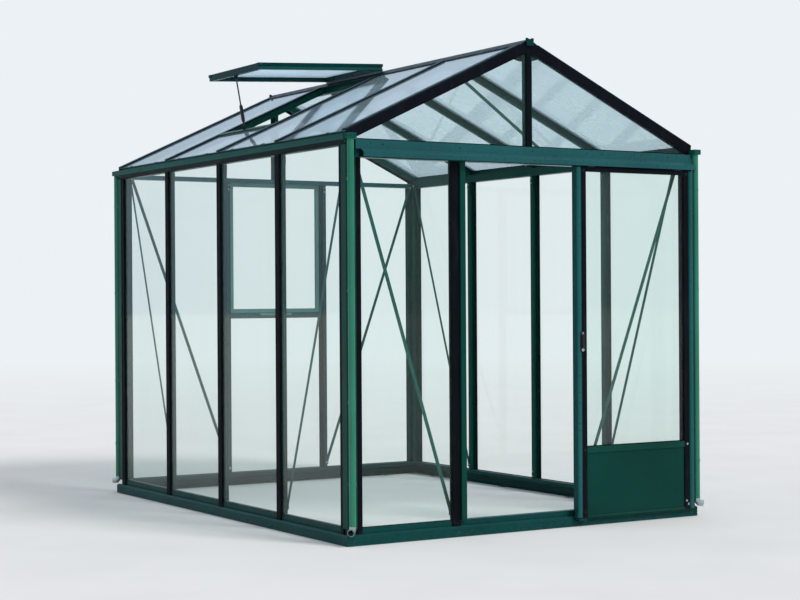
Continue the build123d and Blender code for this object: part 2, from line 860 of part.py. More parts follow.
# Roof braces, cut upright at the eaves beam and at the ridge beam
with BuildPart() as roof_braces:
    for side in ("left", "right"):
        with BuildSketch(slope_plane(side, -bar_depth - brace_thickness, -bar_depth)):
            flat_bar(
                (side_posts[0] + roof_brace_head_shift, (half_width - ridge_half) / cos(slope)),
                (side_posts[0] + roof_brace_foot_shift, 0),
                roof_brace_width,
            )
        extrude(amount=brace_thickness)
    with BuildSketch(Plane.XZ.offset(-rear)):
        for x_sign in (-1, 1):
            pane(*sorted((x_sign * ridge_half, x_sign * (half_width - frame_inner))), 0, 2 * eaves_height)
    extrude(amount=length, mode=Mode.INTERSECT)
save(roof_braces, "roof_braces")


# Downpipes with a coupling ring, and the spouts that turn outward over the corners of the base

with BuildPart() as downpipes:
    with BuildSketch(Plane.XY.offset(spout_top_level)):
        with Locations(*pipe_places):
            Circle(pipe_radius)
            Circle(pipe_radius - pipe_wall, mode=Mode.SUBTRACT)
    extrude(amount=outlet_bottom - spout_top_level)
    with BuildSketch(Plane.XY.offset(pipe_ring_level)):
        with Locations(*pipe_places):
            Circle(pipe_ring_radius)
            Circle(pipe_radius - pipe_wall / 2, mode=Mode.SUBTRACT)
    extrude(amount=pipe_ring_height)
save(downpipes, "downpipes")

spout_path = [(0.0, spout_top_level), (0.0, spout_top_level - spout_neck)]
for number, step in enumerate(spout_steps, start=1):
    heading = radians(number * spout_turn)
    out, level = spout_path[-1]
    spout_path.append((out + step * sin(heading), level - step * cos(heading)))

with BuildPart() as downpipe_spouts:
    for pipe_x, pipe_y in pipe_places:
        out_x = cos(radians(45)) if pipe_x > 0 else -cos(radians(45))
        out_y = sin(radians(45)) if pipe_y > 0 else -sin(radians(45))
        with BuildLine() as spout_line:
            Polyline(*[(pipe_x + out_x * out, pipe_y + out_y * out, level) for out, level in spout_path])
        with BuildSketch(Plane(origin=(pipe_x, pipe_y, spout_top_level), z_dir=(0, 0, -1))):
            Circle(pipe_radius)
            Circle(pipe_radius - pipe_wall, mode=Mode.SUBTRACT)
        sweep(path=spout_line.line, transition=Transition.RIGHT)
save(downpipe_spouts, "downpipe_spouts")


# Roof vent: a framed pane hinged at the ridge, with its sill bar and opener

vent_angle = radians(vent_rest_pitch)
vent_low = vent_low_line + vent_side_clearance
vent_high = vent_high_line - vent_side_clearance
hinge_z = cap_crown + vent_hinge_height


def vent_under(x):
    """Underside of the open vent above the place x, which is negative."""
    return hinge_z - (abs(x) - vent_hinge_inset) * tan(vent_angle)


def vent_plane(level):
    """Plane of the vent: local x along Y, local y down the vent from its hinge."""
    origin = (
        -vent_hinge_inset - level * sin(vent_angle),
        0,
        hinge_z + level * cos(vent_angle),
    )
    return Plane(origin=origin, x_dir=(0, 1, 0), z_dir=(-sin(vent_angle), 0, cos(vent_angle)))


# The upper flange of each side rail stands out a little at the side and at both ends
with BuildPart() as vent_side_rails:
    with BuildSketch(vent_plane(0)):
        pane(vent_low, vent_low + vent_rail_width, 0, vent_length)
        pane(vent_high - vent_rail_width, vent_high, 0, vent_length)
    extrude(amount=vent_lower_height)
    with BuildSketch(vent_plane(vent_lower_height)):
        pane(
            vent_low - vent_flange_out,
            vent_low + vent_rail_width,
            -vent_flange_out,
            vent_length + vent_flange_out,
        )
        pane(
            vent_high - vent_rail_width,
            vent_high + vent_flange_out,
            -vent_flange_out,
            vent_length + vent_flange_out,
        )
    extrude(amount=vent_frame_height - vent_lower_height)
save(vent_side_rails, "vent_side_rails")

rail_low = vent_low + vent_rail_width
rail_high = vent_high - vent_rail_width
with BuildPart() as vent_end_rails:
    with BuildSketch(vent_plane(0)):
        pane(rail_low, rail_high, 0, vent_rail_width)
        pane(rail_low, rail_high, vent_length - vent_rail_width, vent_length)
    extrude(amount=vent_frame_height)
save(vent_end_rails, "vent_end_rails")

with BuildPart() as vent_glass:
    with BuildSketch(vent_plane(vent_glass_level)):
        pane(rail_low, rail_high, vent_rail_width, vent_length - vent_rail_width)
    extrude(amount=glass_thickness)
save(vent_glass, "vent_glass")

hinge_low_x = -ridge_crown_half
hinge_rise = (cap_crown - cap_side) / ridge_crown_half
with BuildPart() as vent_hinge:
    with BuildSketch(Plane(origin=(0, vent_low, 0), x_dir=(1, 0, 0), z_dir=(0, -1, 0))):
        Polygon(
            (hinge_low_x, cap_side),
            (-vent_hinge_inset, cap_crown - hinge_rise * vent_hinge_inset),
            (-vent_hinge_inset, vent_under(-vent_hinge_inset)),
            (hinge_low_x, vent_under(hinge_low_x)),
            align=None,
        )
    extrude(amount=-(vent_high - vent_low))
save(vent_hinge, "vent_hinge")

sill_low_line = vent_low_line + bar_flange_width / 2
sill_high_line = vent_high_line - bar_flange_width / 2
with BuildPart() as vent_sill:
    with BuildSketch(slope_plane("left", sill_low, glass_thickness)):
        pane(sill_low_line, sill_high_line, sill_bottom, sill_top)
    extrude(amount=glass_thickness - sill_low)
    with BuildSketch(slope_plane("left", glass_thickness, sill_high)):
        pane(vent_low_line + strip_width / 2, vent_high_line - strip_width / 2, sill_bottom, sill_top)
    extrude(amount=sill_high - glass_thickness)
save(vent_sill, "vent_sill")

# The opener stands on the sill and holds the end rail; both its ends are cut to the faces they meet
opener_y = (vent_low_line + vent_high_line) / 2
sill_middle = (sill_bottom + sill_top) / 2
foot_x = left + sill_middle * cos(slope) - sill_high * sin(slope)
foot_z = roof_z(foot_x, sill_high)
head_reach = vent_length - vent_rail_width / 2
head_x = -vent_hinge_inset - head_reach * cos(vent_angle)
head_z = hinge_z - head_reach * sin(vent_angle)
opener_length = hypot(head_x - foot_x, head_z - foot_z)
lean_x, lean_z = (head_x - foot_x) / opener_length, (head_z - foot_z) / opener_length
with BuildPart() as vent_opener:
    with BuildSketch(Plane(origin=(foot_x, opener_y, foot_z), x_dir=(0, 1, 0), z_dir=(lean_z, 0, -lean_x))):
        with BuildLine():
            Polyline(
                (0, -opener_rod_radius),
                (opener_rod_radius, -opener_rod_radius),
                (opener_rod_radius, opener_foot_length),
                (opener_body_radius, opener_foot_length + opener_taper),
                (opener_body_radius, opener_foot_length + opener_body_length - opener_taper),
                (opener_rod_radius, opener_foot_length + opener_body_length),
                (opener_rod_radius, opener_length + opener_rod_radius),
                (0, opener_length + opener_rod_radius),
                close=True,
            )
        make_face()
    revolve(axis=Axis((foot_x, opener_y, foot_z), (lean_x, 0, lean_z)))
    split(bisect_by=slope_plane("left", 0, sill_high), keep=Keep.BOTTOM)
    split(bisect_by=vent_plane(0), keep=Keep.BOTTOM)
save(vent_opener, "vent_opener")


# Window in the rear gable, above its transom

window_low = rear_posts[bays_before_window - 1] + strip_width / 2
window_high = rear_posts[bays_before_window] - strip_width / 2
sash_bottom = transom_level + transom_height
with BuildPart() as rear_transom:
    with BuildSketch(face_plane("rear", sash_face, glass_inner)):
        pane(window_low, window_high, transom_level, sash_bottom)
    extrude(amount=glass_inner - sash_face)
save(rear_transom, "rear_transom")

with BuildPart() as window_sash:
    with BuildSketch(face_plane("rear", sash_face, glass_inner)):
        pane(window_low, window_high, sash_bottom, rear_beam_bottom)
        with Locations(((window_low + window_high) / 2, (sash_bottom + rear_beam_bottom) / 2)):
            Rectangle(
                window_high - window_low - 2 * sash_width,
                rear_beam_bottom - sash_bottom - 2 * sash_width,
                mode=Mode.SUBTRACT,
            )
    extrude(amount=glass_inner - sash_face)
save(window_sash, "window_sash")

with BuildPart() as window_glass:
    with BuildSketch(face_plane("rear", glass_outer - glass_thickness, glass_outer)):
        pane(
            window_low + sash_width,
            window_high - sash_width,
            sash_bottom + sash_width,
            rear_beam_bottom - sash_width,
        )
    extrude(amount=glass_thickness)
save(window_glass, "window_glass")

window_middle = (window_low + window_high) / 2
window_handle_level = sash_bottom + sash_width / 2
with BuildPart() as window_handle:
    with BuildSketch(Plane.YZ.offset(window_middle - window_handle_length / 2)):
        with Locations((rear - sash_face + window_handle_stand, window_handle_level)):
            Circle(window_handle_radius)
    extrude(amount=window_handle_length)
    for end in (-1, 1):
        handle_foot_x = window_middle + end * (window_handle_length / 2 - 2 * window_handle_radius)
        with BuildSketch(Plane.XZ.offset(-(rear - sash_face))):
            with Locations((handle_foot_x, window_handle_level)):
                Rectangle(2 * window_handle_radius, 2 * window_handle_radius)
        extrude(amount=-window_handle_stand)
save(window_handle, "window_handle")


# Sliding door, parked open in front of the right bay

leaf_width = door_bay + leaf_overlap
leaf_right = right - pipe_inward - pipe_ring_radius - leaf_parking_gap
leaf_left = leaf_right - leaf_width
door_travel = leaf_left - front_posts[0]
leaf_top = front_beam_bottom - leaf_top_gap
leaf_inner = leaf_outer - leaf_thickness
glass_left_edge = leaf_left + stile_width + seal_width
glass_right_edge = leaf_right - stile_width - seal_width
leaf_middle = (leaf_outer + leaf_inner) / 2


def leaf_sketch_plane(outer):
    """Plane of the door leaf at the distance outer in front of the base, for shapes seen from the front."""
    return Plane(origin=(0, front - outer, 0), x_dir=(1, 0, 0), z_dir=(0, -1, 0))


with BuildPart() as door_stiles:
    for stile_left in (leaf_left, leaf_right - stile_width):
        with BuildSketch(Plane.XY.offset(leaf_bottom)) as section:
            with Locations((stile_left + stile_width / 2, front - leaf_middle)):
                Rectangle(stile_width, leaf_thickness)
            fillet(section.vertices().group_by(Axis.Y)[0], strip_round)
            with Locations((stile_left + stile_width / 2, front - leaf_middle)):
                Rectangle(stile_width - 2 * beam_wall, leaf_thickness - 2 * beam_wall, mode=Mode.SUBTRACT)
        extrude(amount=leaf_top - leaf_bottom)
save(door_stiles, "door_stiles")

with BuildPart() as door_seals:
    for seal_left in (leaf_left + stile_width, leaf_right - stile_width - seal_width):
        with BuildSketch(Plane.XY.offset(leaf_bottom)) as section:
            with Locations((seal_left + seal_width / 2, front - leaf_middle)):
                Rectangle(seal_width, leaf_thickness - 2 * seal_inset)
            fillet(section.vertices().group_by(Axis.Y)[0], strip_round)
        extrude(amount=leaf_top - leaf_bottom)
    with BuildSketch(leaf_sketch_plane(leaf_inner + seal_inset)):
        pane(glass_left_edge, glass_right_edge, leaf_top - top_seal_height, leaf_top)
    extrude(amount=leaf_thickness - 2 * seal_inset)
save(door_seals, "door_seals")

rail_thickness = leaf_thickness - 2 * rail_inset
door_glass_bottom = mid_rail_level + mid_rail_height
with BuildPart() as door_rails:
    with BuildSketch(leaf_sketch_plane(leaf_inner + rail_inset)):
        pane(glass_left_edge, glass_right_edge, mid_rail_level, door_glass_bottom)
        pane(glass_left_edge, glass_right_edge, leaf_bottom, leaf_bottom + bottom_rail_height)
    extrude(amount=rail_thickness)
    with BuildSketch(leaf_sketch_plane(leaf_middle - fin_thickness / 2)):
        pane(leaf_left, leaf_right, leaf_bottom - fin_height, leaf_bottom)
    extrude(amount=fin_thickness)
save(door_rails, "door_rails")

with BuildPart() as door_glass:
    with BuildSketch(leaf_sketch_plane(leaf_middle - glass_thickness / 2)):
        pane(glass_left_edge, glass_right_edge, door_glass_bottom, leaf_top - top_seal_height)
    extrude(amount=glass_thickness)
save(door_glass, "door_glass")

with BuildPart() as door_kick_panel:
    with BuildSketch(leaf_sketch_plane(leaf_middle - kick_panel_thickness / 2)):
        pane(glass_left_edge, glass_right_edge, leaf_bottom + bottom_rail_height, mid_rail_level)
    extrude(amount=kick_panel_thickness)
save(door_kick_panel, "door_kick_panel")

lock_middle = leaf_left + stile_width
with BuildPart() as door_lock:
    with BuildSketch(leaf_sketch_plane(leaf_outer)):
        with Locations((lock_middle, lock_level)):
            SlotOverall(lock_height, lock_width, rotation=90)
    extrude(amount=lock_depth)
    with BuildSketch(leaf_sketch_plane(leaf_outer + lock_depth)):
        with Locations((lock_middle, lock_level)):
            RectangleRounded(handle_width, handle_height, handle_round)
    extrude(amount=handle_reach)
save(door_lock, "door_lock")

# Hangers: plates in the leaf's top corners, each with an axle and a roller on the hood's ledge
roller_y = front - hood_out + hood_wall + hood_ledge / 2
roller_z = front_beam_bottom + hood_wall + roller_gap + roller_radius
hanger_y = front - leaf_outer + rail_inset + hanger_thickness / 2
hanger_places = (leaf_left + hanger_inset, leaf_right - hanger_inset)
with BuildPart() as door_hangers:
    for hanger_x in hanger_places:
        with BuildSketch(Plane.XY.offset(leaf_top)):
            with Locations((hanger_x, hanger_y)):
                Rectangle(hanger_width, hanger_thickness)
        extrude(amount=roller_z + roller_radius / 2 - leaf_top)
        with BuildSketch(Plane.XZ.offset(-(roller_y - roller_thickness / 2))):
            with Locations((hanger_x, roller_z)):
                Circle(roller_radius)
        extrude(amount=-roller_thickness)
        with BuildSketch(Plane.XZ.offset(-roller_y)):
            with Locations((hanger_x, roller_z)):
                Circle(axle_radius)
        extrude(amount=-(hanger_y - roller_y))
save(door_hangers, "door_hangers")

# Guide on the base front: the fin under the leaf runs between its two cheeks
guide_slot = fin_thickness + 2 * guide_clearance
guide_bottom = leaf_bottom - fin_height - guide_clearance - guide_wall
guide_top = leaf_bottom - guide_clearance
guide_reach = leaf_middle + guide_slot / 2 + guide_wall
guide_x = leaf_left + (leaf_right - door_travel - leaf_left) / 2
with BuildPart() as door_guide:
    with BuildSketch(Plane.YZ.offset(guide_x - guide_width / 2)):
        pane(front - guide_reach, front, guide_bottom, guide_bottom + guide_wall)
        pane(front - guide_reach, front - guide_reach + guide_wall, guide_bottom, guide_top)
        inner_cheek = front - guide_reach + guide_wall + guide_slot
        pane(inner_cheek, inner_cheek + guide_wall, guide_bottom, guide_top)
    extrude(amount=guide_width)
save(door_guide, "door_guide")
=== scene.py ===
"""Looks of the glass greenhouse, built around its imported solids."""

import math

import bmesh
import bpy
from mathutils import Matrix, Vector


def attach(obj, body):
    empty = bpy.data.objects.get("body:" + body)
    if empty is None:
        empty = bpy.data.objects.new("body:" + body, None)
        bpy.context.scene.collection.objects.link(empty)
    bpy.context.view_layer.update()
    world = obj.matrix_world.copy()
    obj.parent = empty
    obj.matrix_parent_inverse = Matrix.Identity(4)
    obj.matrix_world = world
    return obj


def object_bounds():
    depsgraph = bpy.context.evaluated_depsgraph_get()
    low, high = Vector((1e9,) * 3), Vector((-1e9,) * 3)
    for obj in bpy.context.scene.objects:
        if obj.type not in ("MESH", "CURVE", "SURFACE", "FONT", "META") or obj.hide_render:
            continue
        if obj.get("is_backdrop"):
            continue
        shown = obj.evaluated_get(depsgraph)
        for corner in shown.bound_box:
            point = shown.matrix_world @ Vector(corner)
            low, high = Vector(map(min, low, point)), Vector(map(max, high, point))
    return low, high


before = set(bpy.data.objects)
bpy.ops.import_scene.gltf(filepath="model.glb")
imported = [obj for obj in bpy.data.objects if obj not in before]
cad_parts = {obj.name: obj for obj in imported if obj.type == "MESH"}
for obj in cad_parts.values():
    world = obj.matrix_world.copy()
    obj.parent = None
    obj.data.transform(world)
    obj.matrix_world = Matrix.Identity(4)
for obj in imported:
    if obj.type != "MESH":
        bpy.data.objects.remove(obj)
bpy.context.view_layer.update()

# Main dimensions in metres, the same as the solids'
HALF_WIDTH = 1.1795
FRONT = -1.555
REAR = 1.555
EAVES = 2.146
SLOPE = math.radians(25)
GLASS_IN = 0.030
FRAME_IN = 0.068
BAR_DEPTH = 0.038
STRIP_FACE = 0.016
BASE_TOP = 0.088
LEDGE = 0.057
BEAM_TOP = 2.115
FRONT_BEAM_BOTTOM = 2.020
REAR_BEAM_BOTTOM = 2.087
GUTTER_BOTTOM = 2.086
FLANGE_HALF = 0.020
WEB_HALF = 0.003
CORNER_FLANGE = 0.034
RIDGE_HALF = 0.022
SIDE_POSTS = (-0.751, 0.0, 0.751)
FRONT_POSTS = (-0.492, 0.358)
REAR_POSTS = (-0.3755, 0.3755)

# Each wall: its side, its posts, where their upper ends are, and where the wall starts and ends
WALLS = (
    ("front", FRONT_POSTS, FRONT_BEAM_BOTTOM, -HALF_WIDTH, HALF_WIDTH),
    ("rear", REAR_POSTS, REAR_BEAM_BOTTOM, -HALF_WIDTH, HALF_WIDTH),
    ("left", SIDE_POSTS, GUTTER_BOTTOM, FRONT, REAR),
    ("right", SIDE_POSTS, GUTTER_BOTTOM, FRONT, REAR),
)

# Door leaf, parked open, in metres: depths are counted outward from the face of the base
LEAF_LEFT = 0.2805
LEAF_RIGHT = 1.1335
LEAF_BOTTOM = 0.050
LEAF_TOP = 2.015
LEAF_OUT = 0.034
LEAF_BACK = 0.006
STILE = 0.038
SEAL = 0.035
SEAL_OUT = 0.032
LOCK_X = LEAF_LEFT + STILE
LOCK_LEVEL = 1.036
LOCK_OUT = 0.040
HANDLE_OUT = 0.046
HANGER_INSET = 0.110

# Roof vent, hood, pipes and ridge in metres
VENT_PITCH = math.radians(3)
VENT_HINGE_X = -0.010
VENT_HINGE_Z = 2.7144
VENT_LOW = 0.026
VENT_HIGH = 0.725
VENT_LENGTH = 0.864
VENT_RAIL = 0.028
VENT_TOP = 0.040
VENT_PANE = (0.026, 0.030)
SILL_MIDDLE = 0.4264
SILL_TOP = 0.014
OPENER_Y = 0.3755
HOOD_OUT = 0.014
HOOD_LEFT = -1.0945
HOOD_RIGHT = 1.1385
CROWN = 2.7114
PIPE_X = 1.159
PIPE_Y = 1.575
PIPE_RADIUS = 0.0185
OUTLET_HALF = 0.024
OUTLET_LEVEL = 2.127
GLASS_START = 0.0221
EAVES_BEAM_OUT = 0.041

# Shader graphs, with the height in metres at which splashes of soil end
SPLASH_TOP = 0.2


def srgb(red, green, blue):
    """Linear colour of an 8-bit one."""

    def linear(value):
        share = value / 255
        return share / 12.92 if share <= 0.04045 else ((share + 0.055) / 1.055) ** 2.4

    return (linear(red), linear(green), linear(blue), 1.0)


def scaled(colour, factor):
    """The same colour, lighter or darker."""
    return tuple(min(1.0, part * factor) for part in colour[:3]) + (1.0,)


SOIL = srgb(120, 104, 84)
DUST = srgb(150, 150, 140)
BLOOM = srgb(88, 98, 106)


class Graph:
    """Node tree of a material or of the world, with short calls for the nodes used here."""

    def __init__(self, owner, output="ShaderNodeOutputMaterial"):
        self.owner = owner
        owner.use_nodes = True
        self.tree = owner.node_tree
        self.tree.nodes.clear()
        self.output = self.tree.nodes.new(output)
        self.places = self.node("ShaderNodeTexCoord").outputs
        self.where = self.places["Object"]

    def node(self, kind, inputs=None, **settings):
        made = self.tree.nodes.new(kind)
        for key, value in settings.items():
            setattr(made, key, value)
        for key, value in (inputs or {}).items():
            if isinstance(value, bpy.types.NodeSocket):
                self.tree.links.new(value, made.inputs[key])
            else:
                made.inputs[key].default_value = value
        return made

    def noise(self, scale, detail=2.0, roughness=0.5, upright=None):
        """Noise; upright below 1 draws it out along Z."""
        where = self.where
        if upright:
            inputs = {"Vector": where, "Scale": (1.0, 1.0, upright)}
            where = self.node("ShaderNodeMapping", inputs).outputs[0]
        inputs = {"Vector": where, "Scale": scale, "Detail": detail, "Roughness": roughness}
        return self.node("ShaderNodeTexNoise", inputs).outputs["Fac"]

    def ranged(self, value, low, high, to_low=0.0, to_high=1.0):
        inputs = {"Value": value, "From Min": low, "From Max": high, "To Min": to_low, "To Max": to_high}
        return self.node("ShaderNodeMapRange", inputs).outputs[0]

    def maths(self, operation, first, second):
        return self.node("ShaderNodeMath", {0: first, 1: second}, operation=operation).outputs[0]

    def mixed(self, share, first, second):
        return self.node("ShaderNodeMix", {0: share, 6: first, 7: second}, data_type="RGBA").outputs[2]

    def blended(self, share, first, second):
        return self.node("ShaderNodeMixShader", {0: share, 1: first, 2: second}).outputs[0]

    def height(self, direction):
        return self.node("ShaderNodeSeparateXYZ", {0: direction}).outputs["Z"]

    def normal(self):
        return self.node("ShaderNodeNewGeometry").outputs["Normal"]

    def bump(self, height, strength, distance):
        inputs = {"Height": height, "Strength": strength, "Distance": distance}
        return self.node("ShaderNodeBump", inputs).outputs[0]

    def splashes(self, scale, most):
        """Share of soil, in spots that end at SPLASH_TOP above the ground."""
        low_down = self.maths("POWER", self.ranged(self.height(self.where), SPLASH_TOP, 0.0), 2.0)
        spots = self.ranged(self.noise(scale, 4.0, 0.7), 0.45, 0.7, 0.0, most)
        return self.maths("MULTIPLY", low_down, spots)

    def shade(self, shader):
        self.tree.links.new(shader, self.output.inputs["Surface"])
        return self.owner

    def solid(self, tone, gloss, normal, further):
        """Opaque surface; further holds its other inputs by name."""
        inputs = {"Base Color": tone, "Roughness": gloss, "Normal": normal, **further}
        return self.shade(self.node("ShaderNodeBsdfPrincipled", inputs).outputs[0])


def coating(name, colour, rough=0.36, specular=0.09, dust=0.07, splash=0.14, peel=0.035):
    """Powder-coated metal: slow tone changes, run marks, settled dust, splashes low down, orange peel."""
    g = Graph(bpy.data.materials.new(name))
    broad = g.ranged(g.noise(1.9, 3.0), 0.3, 0.7)
    tone = g.mixed(broad, scaled(colour, 0.86), scaled(colour, 1.12))
    runs = g.ranged(g.noise(14.0, 3.0, 0.6, 0.06), 0.56, 0.74, 0.0, 0.2)
    tone = g.mixed(runs, tone, scaled(colour, 1.45))
    speckle = g.ranged(g.noise(90.0, 3.0, 0.65), 0.3, 0.7, dust * 0.5, dust)
    settled = g.maths("MULTIPLY", g.ranged(g.height(g.normal()), 0.7, 1.0), speckle)
    tone = g.mixed(settled, tone, DUST)
    spots = g.splashes(45.0, splash)
    tone = g.mixed(spots, tone, SOIL)
    worn = g.ranged(g.noise(34.0, 3.0), 0.3, 0.7, rough - 0.06, rough + 0.08)
    gloss = g.maths("ADD", worn, g.maths("ADD", spots, settled))
    skin = g.bump(g.noise(420.0, 2.0), peel, 0.0004)
    return g.solid(tone, gloss, skin, {"Specular IOR Level": specular})


def rubber(name, colour, rough=0.5, specular=0.05, bloom=0.06):
    """Black strip material: faint grey bloom, long scuffs along it and a fine skin."""
    g = Graph(bpy.data.materials.new(name))
    tone = g.mixed(g.ranged(g.noise(5.0, 4.0), 0.35, 0.7), scaled(colour, 0.8), scaled(colour, 1.25))
    scuffs = g.ranged(g.noise(30.0, 4.0, 0.7, 0.15), 0.55, 0.75, 0.0, bloom)
    tone = g.mixed(scuffs, tone, BLOOM)
    tone = g.mixed(g.splashes(60.0, 0.16), tone, SOIL)
    gloss = g.ranged(g.noise(26.0, 3.0), 0.3, 0.7, rough - 0.08, rough + 0.1)
    skin = g.bump(g.noise(520.0, 3.0, 0.6), 0.08, 0.0004)
    return g.solid(tone, gloss, skin, {"Specular IOR Level": specular})


def metal(name, colour, rough):
    """Bare metal: drawn lines, dull patches and fine scratches."""
    g = Graph(bpy.data.materials.new(name))
    lines = g.noise(240.0, 3.0, 0.6, 0.1)
    patches = g.ranged(g.noise(22.0, 4.0, 0.6), 0.35, 0.7)
    tone = g.mixed(patches, scaled(colour, 0.72), colour)
    gloss = g.ranged(lines, 0.3, 0.7, rough - 0.08, rough + 0.14)
    return g.solid(tone, gloss, g.bump(lines, 0.1, 0.0003), {"Metallic": 1.0})


CLEAR = srgb(251, 254, 253)
WALL_FILM = srgb(206, 216, 212)
# Roof and vent glass: a bluish tint and a sky-blue film that paint in the sky's reflection
PAINTED_SKY_TINT = srgb(240, 248, 250)
PAINTED_SKY_FILM = srgb(218, 235, 249)
RIM = srgb(58, 128, 108)
STRAIGHT_ON = 0.016


def glazing(name, across, tint, film, film_share, uneven=0.35, ripple=0.01, glow_share=0.35, grazing=0.98):
    """Thin clear sheet: see-through with a faint tint, mirror by Fresnel, rain marks, dust, darker cut edges.
    On the roof and vent glass the tint and the film are sky-blue, a painted sky reflection.
    across is the direction square to the sheet, uneven how much its film of dust comes and goes,
    ripple how far the sheet is from flat, glow_share how much of the film lets light through,
    grazing how strong its mirror image is at a glancing angle."""
    g = Graph(bpy.data.materials.new(name))
    clear = g.node("ShaderNodeBsdfTransparent", {"Color": tint}).outputs[0]
    runs = g.ranged(g.noise(9.0, 4.0, 0.6, 0.12), 0.3, 0.75, 1.0 - uneven, 1.0 + uneven)
    clouds = g.ranged(g.noise(1.6, 3.0, 0.5), 0.3, 0.7, 1.0 - uneven * 0.6, 1.0 + uneven * 0.6)
    haze = g.maths("MULTIPLY", g.maths("MULTIPLY", runs, clouds), film_share)
    chalk = g.node("ShaderNodeBsdfDiffuse", {"Color": film}).outputs[0]
    glow = g.node("ShaderNodeBsdfTranslucent", {"Color": film}).outputs[0]
    body = g.blended(haze, clear, g.blended(glow_share, chalk, glow))
    inputs = {"Roughness": g.ranged(clouds, 0.5, 1.5, 0.02, 0.05)}
    if ripple:
        inputs["Normal"] = g.bump(g.noise(1.1, 1.0), ripple, 0.02)
    mirror = g.node("ShaderNodeBsdfGlossy", inputs).outputs[0]
    slant = g.node("ShaderNodeLayerWeight", {"Blend": 0.5}).outputs["Facing"]
    fresnel = g.maths("ADD", g.maths("MULTIPLY", g.maths("POWER", slant, 5.0), grazing), STRAIGHT_ON)
    sheet = g.blended(fresnel, body, mirror)
    square = g.node("ShaderNodeVectorMath", {0: g.normal(), 1: across}, operation="DOT_PRODUCT")
    side_on = g.ranged(g.maths("ABSOLUTE", square.outputs["Value"], 0.0), 0.5, 0.4)
    edge = g.node("ShaderNodeBsdfPrincipled", {"Base Color": RIM, "Roughness": 0.2}).outputs[0]
    return g.shade(g.blended(side_on, sheet, edge))


# The real frame has one green paint; the lighter and darker greens below, apart from the window sash's,
# follow how light fell on each part: painted light and painted shade
green = coating("green_coating", srgb(7, 62, 54))
gutter_green = coating("gutter_coating", srgb(12, 76, 70))
# Near-black for the undersides of the gutters: painted shade under them
painted_shade_gutter_floor = coating("gutter_underside_painted_shade", srgb(4, 28, 30), specular=0.03)
panel_green = coating("panel_coating", srgb(3, 56, 49), rough=0.42, splash=0.05)
# A lighter copy of the frame's green, standing in for light on the tie beams, hood, transom and stile crowns:
# painted light
painted_light_teal = coating("teal_coating_painted_light", srgb(16, 78, 80), rough=0.3, specular=0.26, peel=0.003)
stile_green = coating("stile_coating", srgb(9, 66, 66), specular=0.08, peel=0.012)
base_green = coating("base_coating", srgb(4, 64, 63), splash=0.1)
# A lighter green standing in for light on the downpipes and their clips: a painted highlight
painted_light_pipe_green = coating(
    "pipe_coating_painted_light", srgb(38, 116, 92), rough=0.2, specular=0.3, dust=0.0, splash=0.04, peel=0.01
)
brace_green = coating("brace_coating", srgb(22, 84, 76), rough=0.4)
window_green = coating("window_coating", srgb(96, 146, 136), rough=0.34)
vent_green = coating("vent_coating", srgb(3, 50, 52), rough=0.3)
black_strip = rubber("black_strip", srgb(12, 15, 21))
navy_strip = rubber("roof_strip", srgb(9, 30, 38), rough=0.4, bloom=0.03)
seal_rubber = rubber("seal_rubber", srgb(10, 12, 14), rough=0.6, specular=0.02)
black_plastic = rubber("black_plastic", srgb(15, 16, 17), rough=0.38, specular=0.4, bloom=0.03)
steel = metal("stainless_steel", srgb(206, 208, 208), 0.24)
dull_steel = metal("dull_steel", srgb(92, 100, 100), 0.42)
galvanised = metal("galvanised_spout", srgb(190, 196, 196), 0.34)
front_glass = glazing("glass_across_y", (0, 1, 0), CLEAR, WALL_FILM, 0.010)
side_glass = glazing("glass_across_x", (1, 0, 0), CLEAR, WALL_FILM, 0.011)
roof_glass = glazing("glass_of_roof", (0, 0, 1), PAINTED_SKY_TINT, PAINTED_SKY_FILM, 0.32, uneven=0.08, ripple=0)
vent_pane = glazing(
    "glass_of_vent", (0, 0, 1), PAINTED_SKY_TINT, PAINTED_SKY_FILM, 0.55, uneven=0.03, ripple=0, glow_share=0.8, grazing=0.35
)

FINISHES = {
    green: (
        "corner_posts",
        "front_wall_posts",
        "rear_wall_posts",
        "side_wall_posts",
        "door_jambs",
        "eaves_beams",
        "gable_rafters",
        "roof_bars",
        "king_posts",
        "ridge_beam",
        "vent_sill",
        "door_rails",
    ),
    gutter_green: ("gutter_faces", "gutter_end_caps"),
    painted_shade_gutter_floor: ("gutter_floors",),
    vent_green: ("vent_side_rails", "vent_end_rails"),
    base_green: ("base_ends", "base_sides", "door_guide"),
    painted_light_teal: ("front_tie_beam", "rear_tie_beam", "door_hood", "rear_transom"),
    stile_green: ("door_stiles",),
    panel_green: ("door_kick_panel",),
    painted_light_pipe_green: ("downpipes",),
    brace_green: ("wall_braces", "roof_braces"),
    window_green: ("window_sash",),
    black_strip: ("cover_strips_front", "cover_strips_rear", "cover_strips_sides", "door_seals"),
    navy_strip: ("roof_strips", "ridge_cap"),
    black_plastic: ("door_lock", "window_handle", "vent_opener"),
    dull_steel: ("door_hangers", "vent_hinge"),
    galvanised: ("downpipe_spouts",),
    front_glass: ("glass_front", "glass_rear", "glass_gables", "window_glass", "door_glass"),
    side_glass: ("glass_sides",),
    roof_glass: ("glass_roof",),
    vent_pane: ("vent_glass",),
}
for finish, names in FINISHES.items():
    for name in names:
        node_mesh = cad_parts[name].data
        if not node_mesh.materials:
            node_mesh.materials.append(finish)
        for place in range(len(node_mesh.materials)):
            node_mesh.materials[place] = finish

# Places on the building
INWARD = {
    "left": Vector((1, 0, 0)),
    "right": Vector((-1, 0, 0)),
    "front": Vector((0, 1, 0)),
    "rear": Vector((0, -1, 0)),
}


def roof_z(x, lift=0.0):
    """Height of the plane parallel to the roof, lift above the underside of its glass."""
    return EAVES + (HALF_WIDTH - abs(x)) * math.tan(SLOPE) + lift / math.cos(SLOPE)


